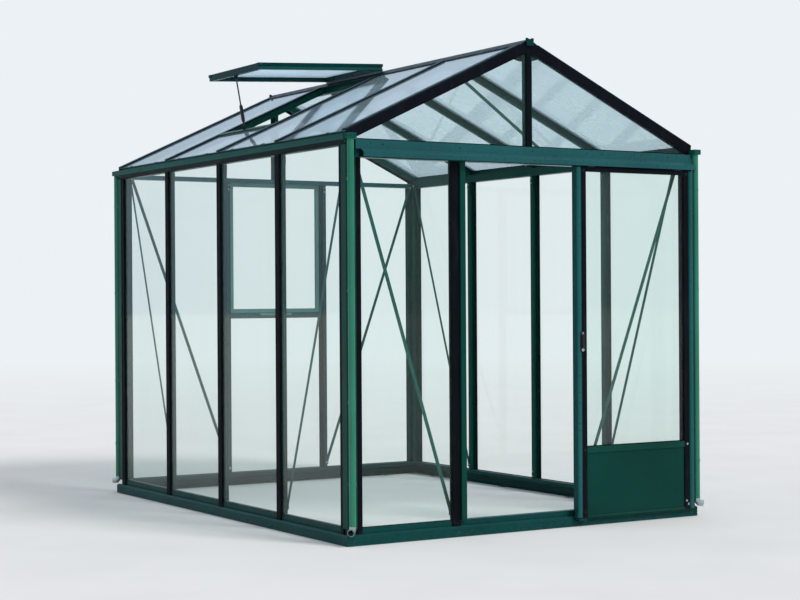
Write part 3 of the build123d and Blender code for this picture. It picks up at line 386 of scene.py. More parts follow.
def wall_point(side, along, depth, level):
    """A point of a wall, depth inward from the outer face of the base."""
    if side == "left":
        return Vector((depth - HALF_WIDTH, along, level))
    if side == "right":
        return Vector((HALF_WIDTH - depth, along, level))
    if side == "front":
        return Vector((along, FRONT + depth, level))
    return Vector((along, REAR - depth, level))


def slope_point(side, along, up, lift):
    """A point of a roof slope: up along it from the eaves line, lift square to it."""
    x = HALF_WIDTH - up * math.cos(SLOPE) + lift * math.sin(SLOPE)
    z = EAVES + up * math.sin(SLOPE) + lift * math.cos(SLOPE)
    return Vector((-x if side == "left" else x, along, z))


def slope_normal(side):
    """Direction out of a roof slope."""
    x = math.sin(SLOPE)
    return Vector((-x if side == "left" else x, 0, math.cos(SLOPE)))


def in_doorway(side, along):
    """Whether a place along a wall is between the posts of the doorway."""
    return side == "front" and FRONT_POSTS[0] < along < FRONT_POSTS[1]


def span(sign, first, second):
    """Both ends of a stretch given for the positive side, in rising order."""
    return sorted((sign * first, sign * second))


def facing(point, direction):
    """Frame at a point whose local Z looks along direction."""
    return Matrix.Translation(point) @ Vector(direction).to_track_quat("Z", "Y").to_matrix().to_4x4()


def framed(point, x_axis, z_axis):
    """Frame at a point from the directions of its local X and Z."""
    x_axis, z_axis = Vector(x_axis), Vector(z_axis)
    turned = Matrix((x_axis, z_axis.cross(x_axis), z_axis)).transposed().to_4x4()
    return Matrix.Translation(point) @ turned


def wall_frame(side, along, depth, level, outward=1):
    """Frame on a wall: local Y upward, local Z outward, or inward where outward is -1."""
    normal = -INWARD[side] * outward
    return framed(wall_point(side, along, depth, level), Vector((0, 0, 1)).cross(normal), normal)


def slope_frame(side, along, up, lift, outward=1):
    """Frame on a roof slope: local Y along the slope, local Z out of it, or into it where outward is -1."""
    x_axis = (0, -outward, 0) if side == "left" else (0, outward, 0)
    return framed(slope_point(side, along, up, lift), x_axis, slope_normal(side) * outward)


def vent_frame(along=0, down=0, level=0):
    """Frame on the open vent: local X along the building, local Y down the vent, local Z out of it."""
    down_way = Vector((-math.cos(VENT_PITCH), 0, -math.sin(VENT_PITCH)))
    normal = Vector((-math.sin(VENT_PITCH), 0, math.cos(VENT_PITCH)))
    point = Vector((VENT_HINGE_X, along, VENT_HINGE_Z)) + down_way * down + normal * level
    return framed(point, (0, 1, 0), normal)


def seat(at, x=0, y=0, height=0):
    """A point of a frame, and the direction of the frame's local Z."""
    return at @ Vector((x, y, height)), at.to_3x3() @ Vector((0, 0, 1))


# Mesh building in metres; a plate is given as (width, height, thickness, corner radius)
EDGE = 0.0006
FINE_EDGE = 0.0003


def lathe(bm, rings, frame_at, sides=12):
    """Closed surface of rings (radius, height, hexagonal) about the local Z of a frame."""
    loops = []
    for radius, height, hexagonal in rings:
        if radius == 0:
            loops.append([bm.verts.new(frame_at @ Vector((0, 0, height)))])
            continue
        loop = []
        for number in range(sides):
            angle = 2 * math.pi * number / sides
            reach = radius
            if hexagonal:
                reach *= math.cos(math.pi / 6) / math.cos(angle % (math.pi / 3) - math.pi / 6)
            corner = Vector((reach * math.cos(angle), reach * math.sin(angle), height))
            loop.append(bm.verts.new(frame_at @ corner))
        loops.append(loop)
    for low, high in zip(loops, loops[1:]):
        for number in range(sides):
            after = (number + 1) % sides
            if len(low) == 1:
                bm.faces.new((low[0], high[after], high[number]))
            elif len(high) == 1:
                bm.faces.new((low[number], low[after], high[0]))
            else:
                bm.faces.new((low[number], low[after], high[after], high[number]))
    for loop, order in ((loops[0], -1), (loops[-1], 1)):
        if len(loop) > 1:
            bm.faces.new(loop[::order])


def barrel(bm, radius, end_radius, edge, height, frame_at, sides=16):
    """Cylinder that narrows to end_radius over edge at both ends."""
    profile = ((end_radius, 0), (radius, edge), (radius, height - edge), (end_radius, height))
    lathe(bm, [(*ring, False) for ring in profile], frame_at, sides)


def pan_head(bm, point, direction, radius=0.0048):
    """Domed screw head with a hexagonal socket, on a washer."""
    profile = (
        (1.5, 0, False),
        (1.5, 0.2, False),
        (1.02, 0.22, False),
        (1, 0.45, False),
        (0.82, 0.72, False),
        (0.5, 0.84, False),
        (0.42, 0.84, True),
        (0.4, 0.4, True),
        (0, 0.36, False),
    )
    rings = [(radius * out, radius * height, hexagonal) for out, height, hexagonal in profile]
    lathe(bm, rings, facing(point, direction))


def hex_bolt(bm, point, direction, radius=0.0058, tail=True):
    """Hexagon head on a washer, with the end of its thread showing where tail is set."""
    profile = [
        (1.45, 0, False),
        (1.45, 0.2, False),
        (1, 0.2, True),
        (1, 0.85, True),
        (0.86, 1.0, False),
    ]
    if tail:
        profile += [(0.52, 1.0, False), (0.52, 1.5, False), (0.42, 1.65, False)]
    profile.append((0, profile[-1][1], False))
    rings = [(radius * out, radius * height, hexagonal) for out, height, hexagonal in profile]
    lathe(bm, rings, facing(point, direction))


def block(bm, low, high, edge=EDGE, turned=None):
    """Box between two corners with its edges broken; turned moves it into another frame."""
    low, high = Vector(low), Vector(high)
    size = high - low
    placed = Matrix.Translation((low + high) / 2) @ Matrix.Diagonal((*size, 1))
    made = bmesh.ops.create_cube(bm, size=1, matrix=placed)
    edges = list({e for v in made["verts"] for e in v.link_edges})
    bevelled = bmesh.ops.bevel(bm, geom=edges, offset=min(edge, min(size) * 0.3), segments=1, affect="EDGES")
    if turned is not None:
        verts = {v for f in bevelled["faces"] for v in f.verts}
        verts |= {v for v in made["verts"] if v.is_valid}
        bmesh.ops.transform(bm, matrix=turned, verts=list(verts))


def wall_block(bm, side, lines, depths, levels, edge=EDGE):
    """Box on a wall between two places along it, two depths inward from the base face and two levels."""
    corners = [wall_point(side, *corner) for corner in zip(lines, depths, levels)]
    low, high = ([pick(values) for values in zip(*corners)] for pick in (min, max))
    block(bm, low, high, edge)


def prism(bm, outline, thickness, frame_at, broken=0.0005):
    """Flat shape given by its outline, with the far face's edge broken."""
    centre_x = sum(x for x, _ in outline) / len(outline)
    centre_y = sum(y for _, y in outline) / len(outline)
    reach = max(math.hypot(x - centre_x, y - centre_y) for x, y in outline)
    shrink = 1 - broken / reach
    rings = []
    for height, factor in ((0, 1), (thickness - broken, 1), (thickness, shrink)):
        ring = []
        for x, y in outline:
            at = Vector((centre_x + (x - centre_x) * factor, centre_y + (y - centre_y) * factor, height))
            ring.append(bm.verts.new(frame_at @ at))
        rings.append(ring)
    count = len(outline)
    for low, high in zip(rings, rings[1:]):
        for number in range(count):
            after = (number + 1) % count
            bm.faces.new((low[number], low[after], high[after], high[number]))
    bm.faces.new(rings[0][::-1])
    bm.faces.new(rings[-1])


def both_halves(right_half):
    """Whole outline of a symmetric shape from the points of its right half, foot first."""
    return right_half + [(-x, level) for x, level in reversed(right_half)]


def rounded_plate(bm, plate, frame_at, steps=4):
    """Flat plate with round corners, standing on the local XY of a frame."""
    width, height, thickness, corner = plate
    outline = []
    for x_sign, y_sign, start in ((1, 1, 0), (-1, 1, 90), (-1, -1, 180), (1, -1, 270)):
        for step in range(steps + 1):
            angle = math.radians(start + 90 * step / steps)
            x = x_sign * (width / 2 - corner) + corner * math.cos(angle)
            y = y_sign * (height / 2 - corner) + corner * math.sin(angle)
            outline.append((x, y))
    prism(bm, outline, thickness, frame_at)


def bar_between(bm, start, end, section, side_on):
    """Straight bar of a section, given as (sideways, outward) pairs, from start to end."""
    start, end = Vector(start), Vector(end)
    along = (end - start).normalized()
    outward = Vector(side_on).normalized()
    sideways = along.cross(outward)
    rings = []
    for point in (start, end):
        rings.append([bm.verts.new(point + sideways * a + outward * b) for a, b in section])
    count = len(section)
    for number in range(count):
        after = (number + 1) % count
        bm.faces.new((rings[0][number], rings[0][after], rings[1][after], rings[1][number]))
    bm.faces.new(rings[0][::-1])
    bm.faces.new(rings[1])


def piece(bm, name, material, body="frame", sharp=35):
    """Turns a bmesh into a named piece that rides on a body."""
    bmesh.ops.recalc_face_normals(bm, faces=bm.faces[:])
    mesh = bpy.data.meshes.new(name)
    bm.to_mesh(mesh)
    bm.free()
    mesh.polygons.foreach_set("use_smooth", [True] * len(mesh.polygons))
    mesh.set_sharp_from_angle(angle=math.radians(sharp))
    made = bpy.data.objects.new(name, mesh)
    bpy.context.scene.collection.objects.link(made)
    mesh.materials.append(material)
    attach(made, body)


# Fine ribs that run along the black cover strips
RIB = ((-0.0018, 0.0), (-0.0009, 0.0011), (0.0009, 0.0011), (0.0018, 0.0))
POST_RIBS = (-0.011, 0.011)
KING_RIBS = (-0.007, 0.007)
KING_RIB_TOP = 2.668
RAFTER_RIB_LIFTS = (-0.010, -0.036)
RAFTER_RIB_ENDS = (1.130, 0.020)
ribs = bmesh.new()


def rib(side, start, end):
    """Rib on the face of a strip between two (along, level) places of a wall."""
    foot, head = (wall_point(side, along, STRIP_FACE, level) for along, level in (start, end))
    bar_between(ribs, foot, head, RIB, -INWARD[side])


for side, posts, top, *_ in WALLS:
    for along in posts:
        for line in POST_RIBS:
            rib(side, (along + line, LEDGE), (along + line, top))
for side in ("front", "rear"):
    for line in KING_RIBS:
        rib(side, (line, BEAM_TOP), (line, KING_RIB_TOP))
    for x_sign in (-1, 1):
        for lift in RAFTER_RIB_LIFTS:
            rib(side, *[(x_sign * x, roof_z(x, lift)) for x in RAFTER_RIB_ENDS])
piece(ribs, "strip_ribs", black_strip)

# Inner glazing beads beside the bars
BEAD_HALF = 0.002
BEAD = ((-BEAD_HALF, 0.0), (-0.0016, 0.0026), (0.0016, 0.0026), (BEAD_HALF, 0.0))
BESIDE_BAR = FLANGE_HALF + BEAD_HALF
BESIDE_CORNER = FRAME_IN + CORNER_FLANGE + BEAD_HALF
beads = bmesh.new()
for side, posts, top, start, end in WALLS:
    lines = [along + sign * BESIDE_BAR for along in posts for sign in (-1, 1)]
    for along in (*lines, start + BESIDE_CORNER, end - BESIDE_CORNER):
        if in_doorway(side, along):
            continue
        foot, head = (wall_point(side, along, GLASS_IN, level) for level in (BASE_TOP, top))
        bar_between(beads, foot, head, BEAD, INWARD[side])
piece(beads, "glazing_beads", black_strip)

# Braces: a fixing plate and a bolt at each end
BRACE_THICKNESS = 0.003
BRACE_HEAD_INSET = 0.088
BRACE_FOOT = 0.112
BRACE_BOLT_INSET = 0.012
BRACE_PLATE_THICKNESS = 0.0016
BRACE_PLATE = (0.026, 0.026, BRACE_PLATE_THICKNESS, 0.006)
SIDE_BRACE_HEAD = (GUTTER_BOTTOM + roof_z(HALF_WIDTH - FRAME_IN, -BAR_DEPTH)) / 2
BRACE_HEADS = {
    "front": FRONT_BEAM_BOTTOM + 0.024,
    "rear": (REAR_BEAM_BOTTOM + BEAM_TOP) / 2,
    "left": SIDE_BRACE_HEAD,
    "right": SIDE_BRACE_HEAD,
}
ROOF_BRACE_HEAD_SHIFT = 0.032
ROOF_BRACE_FOOT_SHIFT = 0.474
ROOF_BRACE_BOLTS = (0.045, 0.905)
plates = bmesh.new()
bolts = bmesh.new()


def brace_end(point, inner):
    """Plate and bolt on the end of a brace; inner is the direction into the building."""
    rounded_plate(plates, BRACE_PLATE, facing(point, inner))
    hex_bolt(bolts, point + inner * BRACE_PLATE_THICKNESS, inner)


for side, posts, _, start, end in WALLS:
    for head_line, post in ((start + BRACE_HEAD_INSET, posts[0]), (end - BRACE_HEAD_INSET, posts[-1])):
        head, foot = Vector((head_line, BRACE_HEADS[side])), Vector((post, BRACE_FOOT))
        inset = (foot - head).normalized() * BRACE_BOLT_INSET
        for along, level in (head + inset, foot - inset):
            brace_end(wall_point(side, along, FRAME_IN + BRACE_THICKNESS, level), INWARD[side])
roof_head = Vector((SIDE_POSTS[0] + ROOF_BRACE_HEAD_SHIFT, (HALF_WIDTH - RIDGE_HALF) / math.cos(SLOPE)))
roof_foot = Vector((SIDE_POSTS[0] + ROOF_BRACE_FOOT_SHIFT, 0.0))
for side in ("left", "right"):
    for share in ROOF_BRACE_BOLTS:
        along, up = roof_head.lerp(roof_foot, share)
        brace_end(slope_point(side, along, up, -BAR_DEPTH - BRACE_THICKNESS), -slope_normal(side))
piece(plates, "brace_plates", green)
piece(bolts, "brace_bolts", steel)

# Beads under the wall panes, along the top of the base
foot_beads = bmesh.new()
for side, *lines in (
    ("front", -HALF_WIDTH + FRAME_IN, FRONT_POSTS[0]),
    ("front", FRONT_POSTS[1], HALF_WIDTH - FRAME_IN),
    ("rear", -HALF_WIDTH + FRAME_IN, HALF_WIDTH - FRAME_IN),
    ("left", FRONT + FRAME_IN, REAR - FRAME_IN),
    ("right", FRONT + FRAME_IN, REAR - FRAME_IN),
):
    start, end = (wall_point(side, line, GLASS_IN, BASE_TOP + BEAD_HALF) for line in lines)
    bar_between(foot_beads, start, end, BEAD, INWARD[side])
piece(foot_beads, "foot_beads", seal_rubber)

# Eaves: a closing strip between beam and glass, a seal on it, and stops at the lower edge of each pane
CLOSURE_X = HALF_WIDTH - EAVES_BEAM_OUT
CLOSURE_THICKNESS = 0.0025
CLOSURE_FOOT = roof_z(CLOSURE_X, -BAR_DEPTH) - 0.002
CLOSURE_HEAD = roof_z(CLOSURE_X) - 0.004
EAVES_SEAL_OUT, EAVES_SEAL_IN = 0.001, 0.005
STOP_SHARES = (0.22, 0.78)
STOP_HALF = 0.011
# Lip, upper leg and lower leg of a stop: from where to where up the slope, and square to it
STOP_PARTS = (
    ((-0.0018, -0.0002), (-0.0018, 0.0058)),
    ((-0.0018, 0.012), (0.0043, 0.0058)),
    ((-0.0018, 0.024), (-0.0018, -0.0004)),
)
closures = bmesh.new()
eaves_seals = bmesh.new()
stops = bmesh.new()
bay_lines = [FRONT + FRAME_IN, *SIDE_POSTS, REAR - FRAME_IN]
for side, x_sign in (("left", -1), ("right", 1)):
    for number, (start, end) in enumerate(zip(bay_lines, bay_lines[1:])):
        after_bar, before_bar = number > 0, number < len(SIDE_POSTS)
        near, far = span(x_sign, CLOSURE_X, CLOSURE_X - CLOSURE_THICKNESS)
        first, last = start + after_bar * WEB_HALF, end - before_bar * WEB_HALF
        block(closures, (near, first, CLOSURE_FOOT), (far, last, CLOSURE_HEAD))
        near, far = span(x_sign, CLOSURE_X + EAVES_SEAL_OUT, CLOSURE_X - EAVES_SEAL_IN)
        first, last = start + after_bar * FLANGE_HALF, end - before_bar * FLANGE_HALF
        block(eaves_seals, (near, first, CLOSURE_HEAD), (far, last, roof_z(CLOSURE_X)))
        for share in STOP_SHARES:
            at = slope_frame(side, first + (last - first) * share, GLASS_START, 0)
            for (low_up, high_up), (under, over) in STOP_PARTS:
                block(stops, (-STOP_HALF, low_up, under), (STOP_HALF, high_up, over), FINE_EDGE, at)
piece(closures, "eaves_closures", green)
piece(eaves_seals, "eaves_seals", seal_rubber)
piece(stops, "glass_stops", dull_steel)

# Cleats: a plate with two bolts at the ends of the wall posts and of the roof bars
CLEAT_THICKNESS = 0.002
CLEAT = (0.022, 0.054, CLEAT_THICKNESS, 0.004)
CLEAT_BOLT = 0.0044
CLEAT_BOLT_SHIFT = 0.015
CLEAT_SHIFT = 0.032
ROOF_CLEATS = (
    FRAME_IN / math.cos(SLOPE) + 0.042,
    (HALF_WIDTH - RIDGE_HALF) / math.cos(SLOPE) - 0.040,
)
cleats = bmesh.new()
cleat_bolts = bmesh.new()


def cleat(at):
    """Plate on the local XY of a frame, with a bolt above and below its middle."""
    rounded_plate(cleats, CLEAT, at)
    for offset in (-CLEAT_BOLT_SHIFT, CLEAT_BOLT_SHIFT):
        hex_bolt(cleat_bolts, *seat(at, 0, offset, CLEAT_THICKNESS), CLEAT_BOLT)


for side, posts, top, *_ in WALLS:
    for along in posts:
        cleat(wall_frame(side, along, FRAME_IN, top - CLEAT_SHIFT, -1))
        if along not in (posts[0], posts[-1]):
            cleat(wall_frame(side, along, FRAME_IN, BASE_TOP + CLEAT_SHIFT, -1))
for side in ("left", "right"):
    for along in SIDE_POSTS:
        for up in ROOF_CLEATS:
            cleat(slope_frame(side, along, up, -BAR_DEPTH, -1))

# Gussets inside the gables, over the joint of both rafters with the king post
GUSSET_SHOULDER = 0.105
GUSSET_NOTCH_HALF = RIDGE_HALF + 0.001
# Heights of its lower edge, bolts and upper edge, from the underside of the roof glass
GUSSET_LOW, GUSSET_MIDDLE, GUSSET_HIGH = -0.032, -0.019, -0.006
GUSSET_RIGHT_HALF = [
    (0.030, 2.592),
    (GUSSET_SHOULDER, roof_z(GUSSET_SHOULDER, GUSSET_LOW)),
    (GUSSET_SHOULDER, roof_z(GUSSET_SHOULDER, GUSSET_HIGH)),
    (GUSSET_NOTCH_HALF, roof_z(GUSSET_NOTCH_HALF, GUSSET_HIGH)),
    (GUSSET_NOTCH_HALF, 2.639),
]
GUSSET_BOLTS = [(x, roof_z(x, GUSSET_MIDDLE)) for x in (-0.085, -0.045, 0.045, 0.085)] + [(0, 2.610)]
for side in ("front", "rear"):
    at = wall_frame(side, 0, FRAME_IN, 0, -1)
    prism(cleats, both_halves(GUSSET_RIGHT_HALF), CLEAT_THICKNESS, at)
    for x, level in GUSSET_BOLTS:
        hex_bolt(cleat_bolts, *seat(at, x, level, CLEAT_THICKNESS), CLEAT_BOLT)
piece(cleats, "frame_cleats", green)
piece(cleat_bolts, "cleat_bolts", steel)

# Ridge: a thin cover with two screws on each end plate
COVER_DEPTH = 0.004
COVER_THICKNESS = 0.0012
COVER_TOP = CROWN + 0.004
COVER_RIGHT_HALF = [(0.024, CROWN - 0.038), (0.024, COVER_TOP), (0.012, COVER_TOP), (0.012, CROWN - 0.001)]
COVER_SCREW_X = 0.015
COVER_SCREW_LEVEL = CROWN - 0.027
COVER_SCREW = 0.0034
ridge_ends = bmesh.new()
painted_screws = bmesh.new()
for side in ("front", "rear"):
    at = wall_frame(side, 0, COVER_DEPTH, 0)
    prism(ridge_ends, both_halves(COVER_RIGHT_HALF), COVER_THICKNESS, at)
    for x in (-COVER_SCREW_X, COVER_SCREW_X):
        pan_head(painted_screws, *seat(at, x, COVER_SCREW_LEVEL, COVER_THICKNESS), COVER_SCREW)
piece(ridge_ends, "ridge_end_covers", vent_green)

# Gutters and pipes: screws in the outlet boxes, clips that hold the pipes to the corner posts
SMALL_SCREW = 0.0032
OUTLET_SCREW_X = 0.014
CLIP_LEVELS = (0.74, 1.32, 1.90)
CLIP_HEIGHT = 0.012
CLIP_OUTER = PIPE_RADIUS + 0.0009
CLIP_INNER = PIPE_RADIUS - 0.001
SADDLE_HALF = 0.007
SADDLE_BEYOND = 0.002
CORNER_POST_FACE = REAR - 0.012
clips = bmesh.new()
for x_sign in (-1, 1):
    for y_sign in (-1, 1):
        pipe = Vector((x_sign * PIPE_X, y_sign * PIPE_Y, 0))
        box = pipe + Vector((0, 0, OUTLET_LEVEL))
        for x in (-OUTLET_SCREW_X, OUTLET_SCREW_X):
            pan_head(painted_screws, box + Vector((x, y_sign * OUTLET_HALF, 0)), (0, y_sign, 0), SMALL_SCREW)
        pan_head(painted_screws, box + Vector((x_sign * OUTLET_HALF, 0, 0)), (x_sign, 0, 0), SMALL_SCREW)
        near, far = span(y_sign, CORNER_POST_FACE, PIPE_Y - CLIP_INNER)
        for level in CLIP_LEVELS:
            at = Matrix.Translation(pipe + Vector((0, 0, level)))
            barrel(clips, CLIP_OUTER, CLIP_INNER, EDGE, CLIP_HEIGHT, at, 32)
            low = (pipe.x - SADDLE_HALF, near, level - SADDLE_BEYOND)
            high = (pipe.x + SADDLE_HALF, far, level + CLIP_HEIGHT + SADDLE_BEYOND)
            block(clips, low, high)
piece(clips, "pipe_clips", painted_light_pipe_green)

# Base: screws in its outer face under the posts and at the corners, anchor plates on its foot
BASE_SCREW = 0.004
BASE_SCREW_LEVEL = 0.026
BASE_SCREW_INSET = 0.040
ANCHOR_INSET = 0.30
ANCHOR_HALF = 0.020
ANCHOR_DEPTHS = (0.012, 0.078)
ANCHOR_LEVELS = (0.003, 0.0055)
ANCHOR_BOLT = 0.006
ANCHOR_BOLT_DEPTH = 0.060
base_screws = bmesh.new()
anchors = bmesh.new()
for side, posts, _, start, end in WALLS:
    for along in (start + BASE_SCREW_INSET, *posts, end - BASE_SCREW_INSET):
        pan_head(base_screws, wall_point(side, along, 0.0, BASE_SCREW_LEVEL), -INWARD[side], BASE_SCREW)
    anchor_lines = [(first + second) / 2 for first, second in zip(posts, posts[1:])]
    for along in (*anchor_lines, start + ANCHOR_INSET, end - ANCHOR_INSET):
        if in_doorway(side, along):
            continue
        wall_block(anchors, side, (along - ANCHOR_HALF, along + ANCHOR_HALF), ANCHOR_DEPTHS, ANCHOR_LEVELS)
        point = wall_point(side, along, ANCHOR_BOLT_DEPTH, ANCHOR_LEVELS[1])
        hex_bolt(base_screws, point, (0, 0, 1), ANCHOR_BOLT, False)
piece(anchors, "base_anchors", galvanised)

# Hood: end plugs, a lip along its lower edge and small painted screws along its upper face. The lip is a
# black seal whose black also stands in for the shade under the hood's edge.
# A plug is given by how far out and at what level its corners are
PLUG_FOOT = 2.0205
PLUG_FRONT = 0.0465
LEFT_PLUG_THICKNESS = 0.003
RIGHT_PLUG_THICKNESS = 0.0014
LEFT_PLUG = [
    (0.004, PLUG_FOOT),
    (PLUG_FRONT, PLUG_FOOT),
    (PLUG_FRONT, 2.0435),
    (0.0205, 2.0615),
    (0.004, 2.0615),
]
RIGHT_PLUG = [
    (-0.010, PLUG_FOOT),
    (-0.010, 2.1105),
    (0.0135, 2.1105),
    (0.0135, 2.0665),
    (PLUG_FRONT, 2.0442),
    (PLUG_FRONT, PLUG_FOOT),
]
LIP_DEPTHS = (-0.0468, -0.0352)
LIP_LEVELS = (2.0186, 2.0200)
HOOD_SCREWS = (-0.96, -0.48, 0.0, 0.48, 0.96)
HOOD_SCREW_LEVEL = 2.090
plugs = bmesh.new()
at = framed((HOOD_LEFT, 0, 0), (0, -1, 0), (-1, 0, 0))
prism(plugs, [(out - FRONT, level) for out, level in LEFT_PLUG], LEFT_PLUG_THICKNESS, at)
at = framed((HOOD_RIGHT, 0, 0), (0, 1, 0), (1, 0, 0))
prism(plugs, [(FRONT - out, level) for out, level in RIGHT_PLUG], RIGHT_PLUG_THICKNESS, at)
piece(plugs, "hood_plugs", black_plastic)
# Black seal under the hood's edge, partly a real seal and partly painted shade
hood_lip = bmesh.new()
wall_block(hood_lip, "front", (HOOD_LEFT, HOOD_RIGHT), LIP_DEPTHS, LIP_LEVELS, FINE_EDGE)
piece(hood_lip, "hood_lip_seal_and_painted_shade", seal_rubber)
for x in HOOD_SCREWS:
    pan_head(painted_screws, (x, FRONT - HOOD_OUT, HOOD_SCREW_LEVEL), (0, -1, 0), SMALL_SCREW)

# Roof vent: seals round its glass, both above and below it
VENT_SEAL_WIDTH = 0.005
VENT_SEAL_HEIGHT = 0.003
vent_seals = bmesh.new()
left, right = VENT_LOW + VENT_RAIL, VENT_HIGH - VENT_RAIL
upper, lower = VENT_RAIL, VENT_LENGTH - VENT_RAIL
pane_under, pane_over = VENT_PANE
for low, high in ((pane_over, pane_over + VENT_SEAL_HEIGHT), (pane_under - VENT_SEAL_HEIGHT, pane_under)):
    for near, far in ((upper, upper + VENT_SEAL_WIDTH), (lower - VENT_SEAL_WIDTH, lower)):
        block(vent_seals, (left, near, low), (right, far, high), turned=vent_frame())
    for near, far in ((left, left + VENT_SEAL_WIDTH), (right - VENT_SEAL_WIDTH, right)):
        first, last = (near, upper + VENT_SEAL_WIDTH, low), (far, lower - VENT_SEAL_WIDTH, high)
        block(vent_seals, first, last, turned=vent_frame())
piece(vent_seals, "vent_seals", seal_rubber)

# Roof vent: screws in its top, sunk a little, and in its sides
VENT_SCREW = 0.0038
VENT_SIDE_SCREW = 0.0034
VENT_SIDE_SCREW_LEVEL = 0.031
VENT_SCREW_INSET = 0.012
VENT_END_INSET = 0.014
VENT_SCREW_ROWS = (VENT_END_INSET, 0.29, 0.575, VENT_LENGTH - VENT_END_INSET)
VENT_SCREW_SINK = 0.0024
VENT_FLANGE_OUT = 0.004
for along in (VENT_LOW + VENT_SCREW_INSET, VENT_HIGH - VENT_SCREW_INSET):
    for down in VENT_SCREW_ROWS:
        pan_head(base_screws, *seat(vent_frame(along, down, VENT_TOP - VENT_SCREW_SINK)), VENT_SCREW)
for down in (VENT_END_INSET, VENT_LENGTH - VENT_END_INSET):
    for along, way in ((VENT_LOW - VENT_FLANGE_OUT, -1), (VENT_HIGH + VENT_FLANGE_OUT, 1)):
        point = vent_frame(along, down, VENT_SIDE_SCREW_LEVEL).translation
        pan_head(base_screws, point, (0, way, 0), VENT_SIDE_SCREW)

# Roof vent: hinge knuckles along the ridge
KNUCKLE = 0.058
KNUCKLE_GAP = 0.0012
KNUCKLE_RADIUS, KNUCKLE_END_RADIUS = 0.0042, 0.0032
KNUCKLE_X, KNUCKLE_Z = VENT_HINGE_X + 0.0046, VENT_HINGE_Z + 0.0024
BARREL_EDGE = 0.0008
hinge = bmesh.new()
start = VENT_LOW + 0.004
while start + KNUCKLE < VENT_HIGH:
    at = facing((KNUCKLE_X, start, KNUCKLE_Z), (0, 1, 0))
    barrel(hinge, KNUCKLE_RADIUS, KNUCKLE_END_RADIUS, BARREL_EDGE, KNUCKLE, at)
    start += KNUCKLE + KNUCKLE_GAP
piece(hinge, "vent_knuckles", vent_green)

# Roof vent: a bracket with two ears and a pin at each end of the opener
BRACKET = (0.044, 0.024, 0.002, 0.004)
BRACKET_SCREW = 0.003
EAR_STARTS = (-0.0085, 0.0055)
EAR_THICKNESS = 0.003
EAR_HALF = 0.010
EAR_TOP = 0.024
PIN_RADIUS = 0.0034
PIN_HALF = 0.0115
PIN_HEIGHT = 0.015
BRACKET_SCREW_X = 0.017
brackets = bmesh.new()
lower_bracket = slope_frame("left", OPENER_Y, SILL_MIDDLE, SILL_TOP)
upper_bracket = vent_frame(OPENER_Y, VENT_LENGTH - VENT_RAIL / 2) @ Matrix.Rotation(math.pi, 4, "X")
for at in (lower_bracket, upper_bracket):
    rounded_plate(brackets, BRACKET, at)
    for x in EAR_STARTS:
        block(brackets, (x, -EAR_HALF, 0.001), (x + EAR_THICKNESS, EAR_HALF, EAR_TOP), turned=at)
    across = at @ Matrix.Translation((-PIN_HALF, 0, PIN_HEIGHT)) @ Matrix.Rotation(math.pi / 2, 4, "Y")
    lathe(brackets, [(PIN_RADIUS, 0.0, False), (PIN_RADIUS, 2 * PIN_HALF, False)], across, 16)
    for x in (-BRACKET_SCREW_X, BRACKET_SCREW_X):
        pan_head(base_screws, *seat(at, x, 0, BRACKET[2]), BRACKET_SCREW)
piece(brackets, "opener_brackets", black_plastic)

# Rear window: hinges under the beam and a stay bar on three pegs inside
HINGE_PLATE = (0.064, 0.018, 0.0018, 0.004)
HINGE_X = 0.215
HINGE_DEPTH = 0.012
HINGE_LEVEL = 2.070
HINGE_SCREW = 0.003
HINGE_SCREW_X = 0.022
HINGE_AXLE = (REAR - 0.0085, 2.0825)
HINGE_LENGTH = 0.060
HINGE_RADIUS, HINGE_END_RADIUS = 0.0044, 0.0034
STAY_BAR = (0.250, 0.016, 0.002, 0.0078)
STAY_LEVEL = 1.178
STAY_GAP = 0.010
PEG = ((0.004, 0.0), (0.004, STAY_GAP), (0.0052, 0.012), (0.0052, 0.0155))
PEG_PLACES = (-0.105, 0.0, 0.105)
window_parts = bmesh.new()
for x in (-HINGE_X, HINGE_X):
    rounded_plate(window_parts, HINGE_PLATE, wall_frame("rear", x, HINGE_DEPTH, HINGE_LEVEL))
    for offset in (-HINGE_SCREW_X, HINGE_SCREW_X):
        point = wall_point("rear", x + offset, HINGE_DEPTH - HINGE_PLATE[2], HINGE_LEVEL)
        pan_head(base_screws, point, -INWARD["rear"], HINGE_SCREW)
    at = facing((x - HINGE_LENGTH / 2, *HINGE_AXLE), (1, 0, 0))
    barrel(window_parts, HINGE_RADIUS, HINGE_END_RADIUS, BARREL_EDGE, HINGE_LENGTH, at)
at = wall_frame("rear", 0.0, GLASS_IN + STAY_GAP, STAY_LEVEL, -1)
rounded_plate(window_parts, STAY_BAR, at)
for x in PEG_PLACES:
    at = wall_frame("rear", x, GLASS_IN, STAY_LEVEL, -1)
    lathe(window_parts, [(*ring, False) for ring in PEG], at, 16)
piece(window_parts, "window_fittings", window_green)

# Seals along the top of both gable beams, and pale sheets on the lower faces of the vent's side rails:
# painted light
GABLE_SEAL_LINES = (0.018, 1.100)
GABLE_SEAL_DEPTHS = (0.0125, 0.0255)
GABLE_SEAL_HEIGHT = 0.0045
SKIRT_THICKNESS = 0.0008
SKIRT_LEVELS = (0.0012, 0.0185)
gable_seals = bmesh.new()
for side in ("front", "rear"):
    for x_sign in (-1, 1):
        levels = (BEAM_TOP, BEAM_TOP + GABLE_SEAL_HEIGHT)
        wall_block(gable_seals, side, span(x_sign, *GABLE_SEAL_LINES), GABLE_SEAL_DEPTHS, levels)
piece(gable_seals, "gable_seals", seal_rubber)
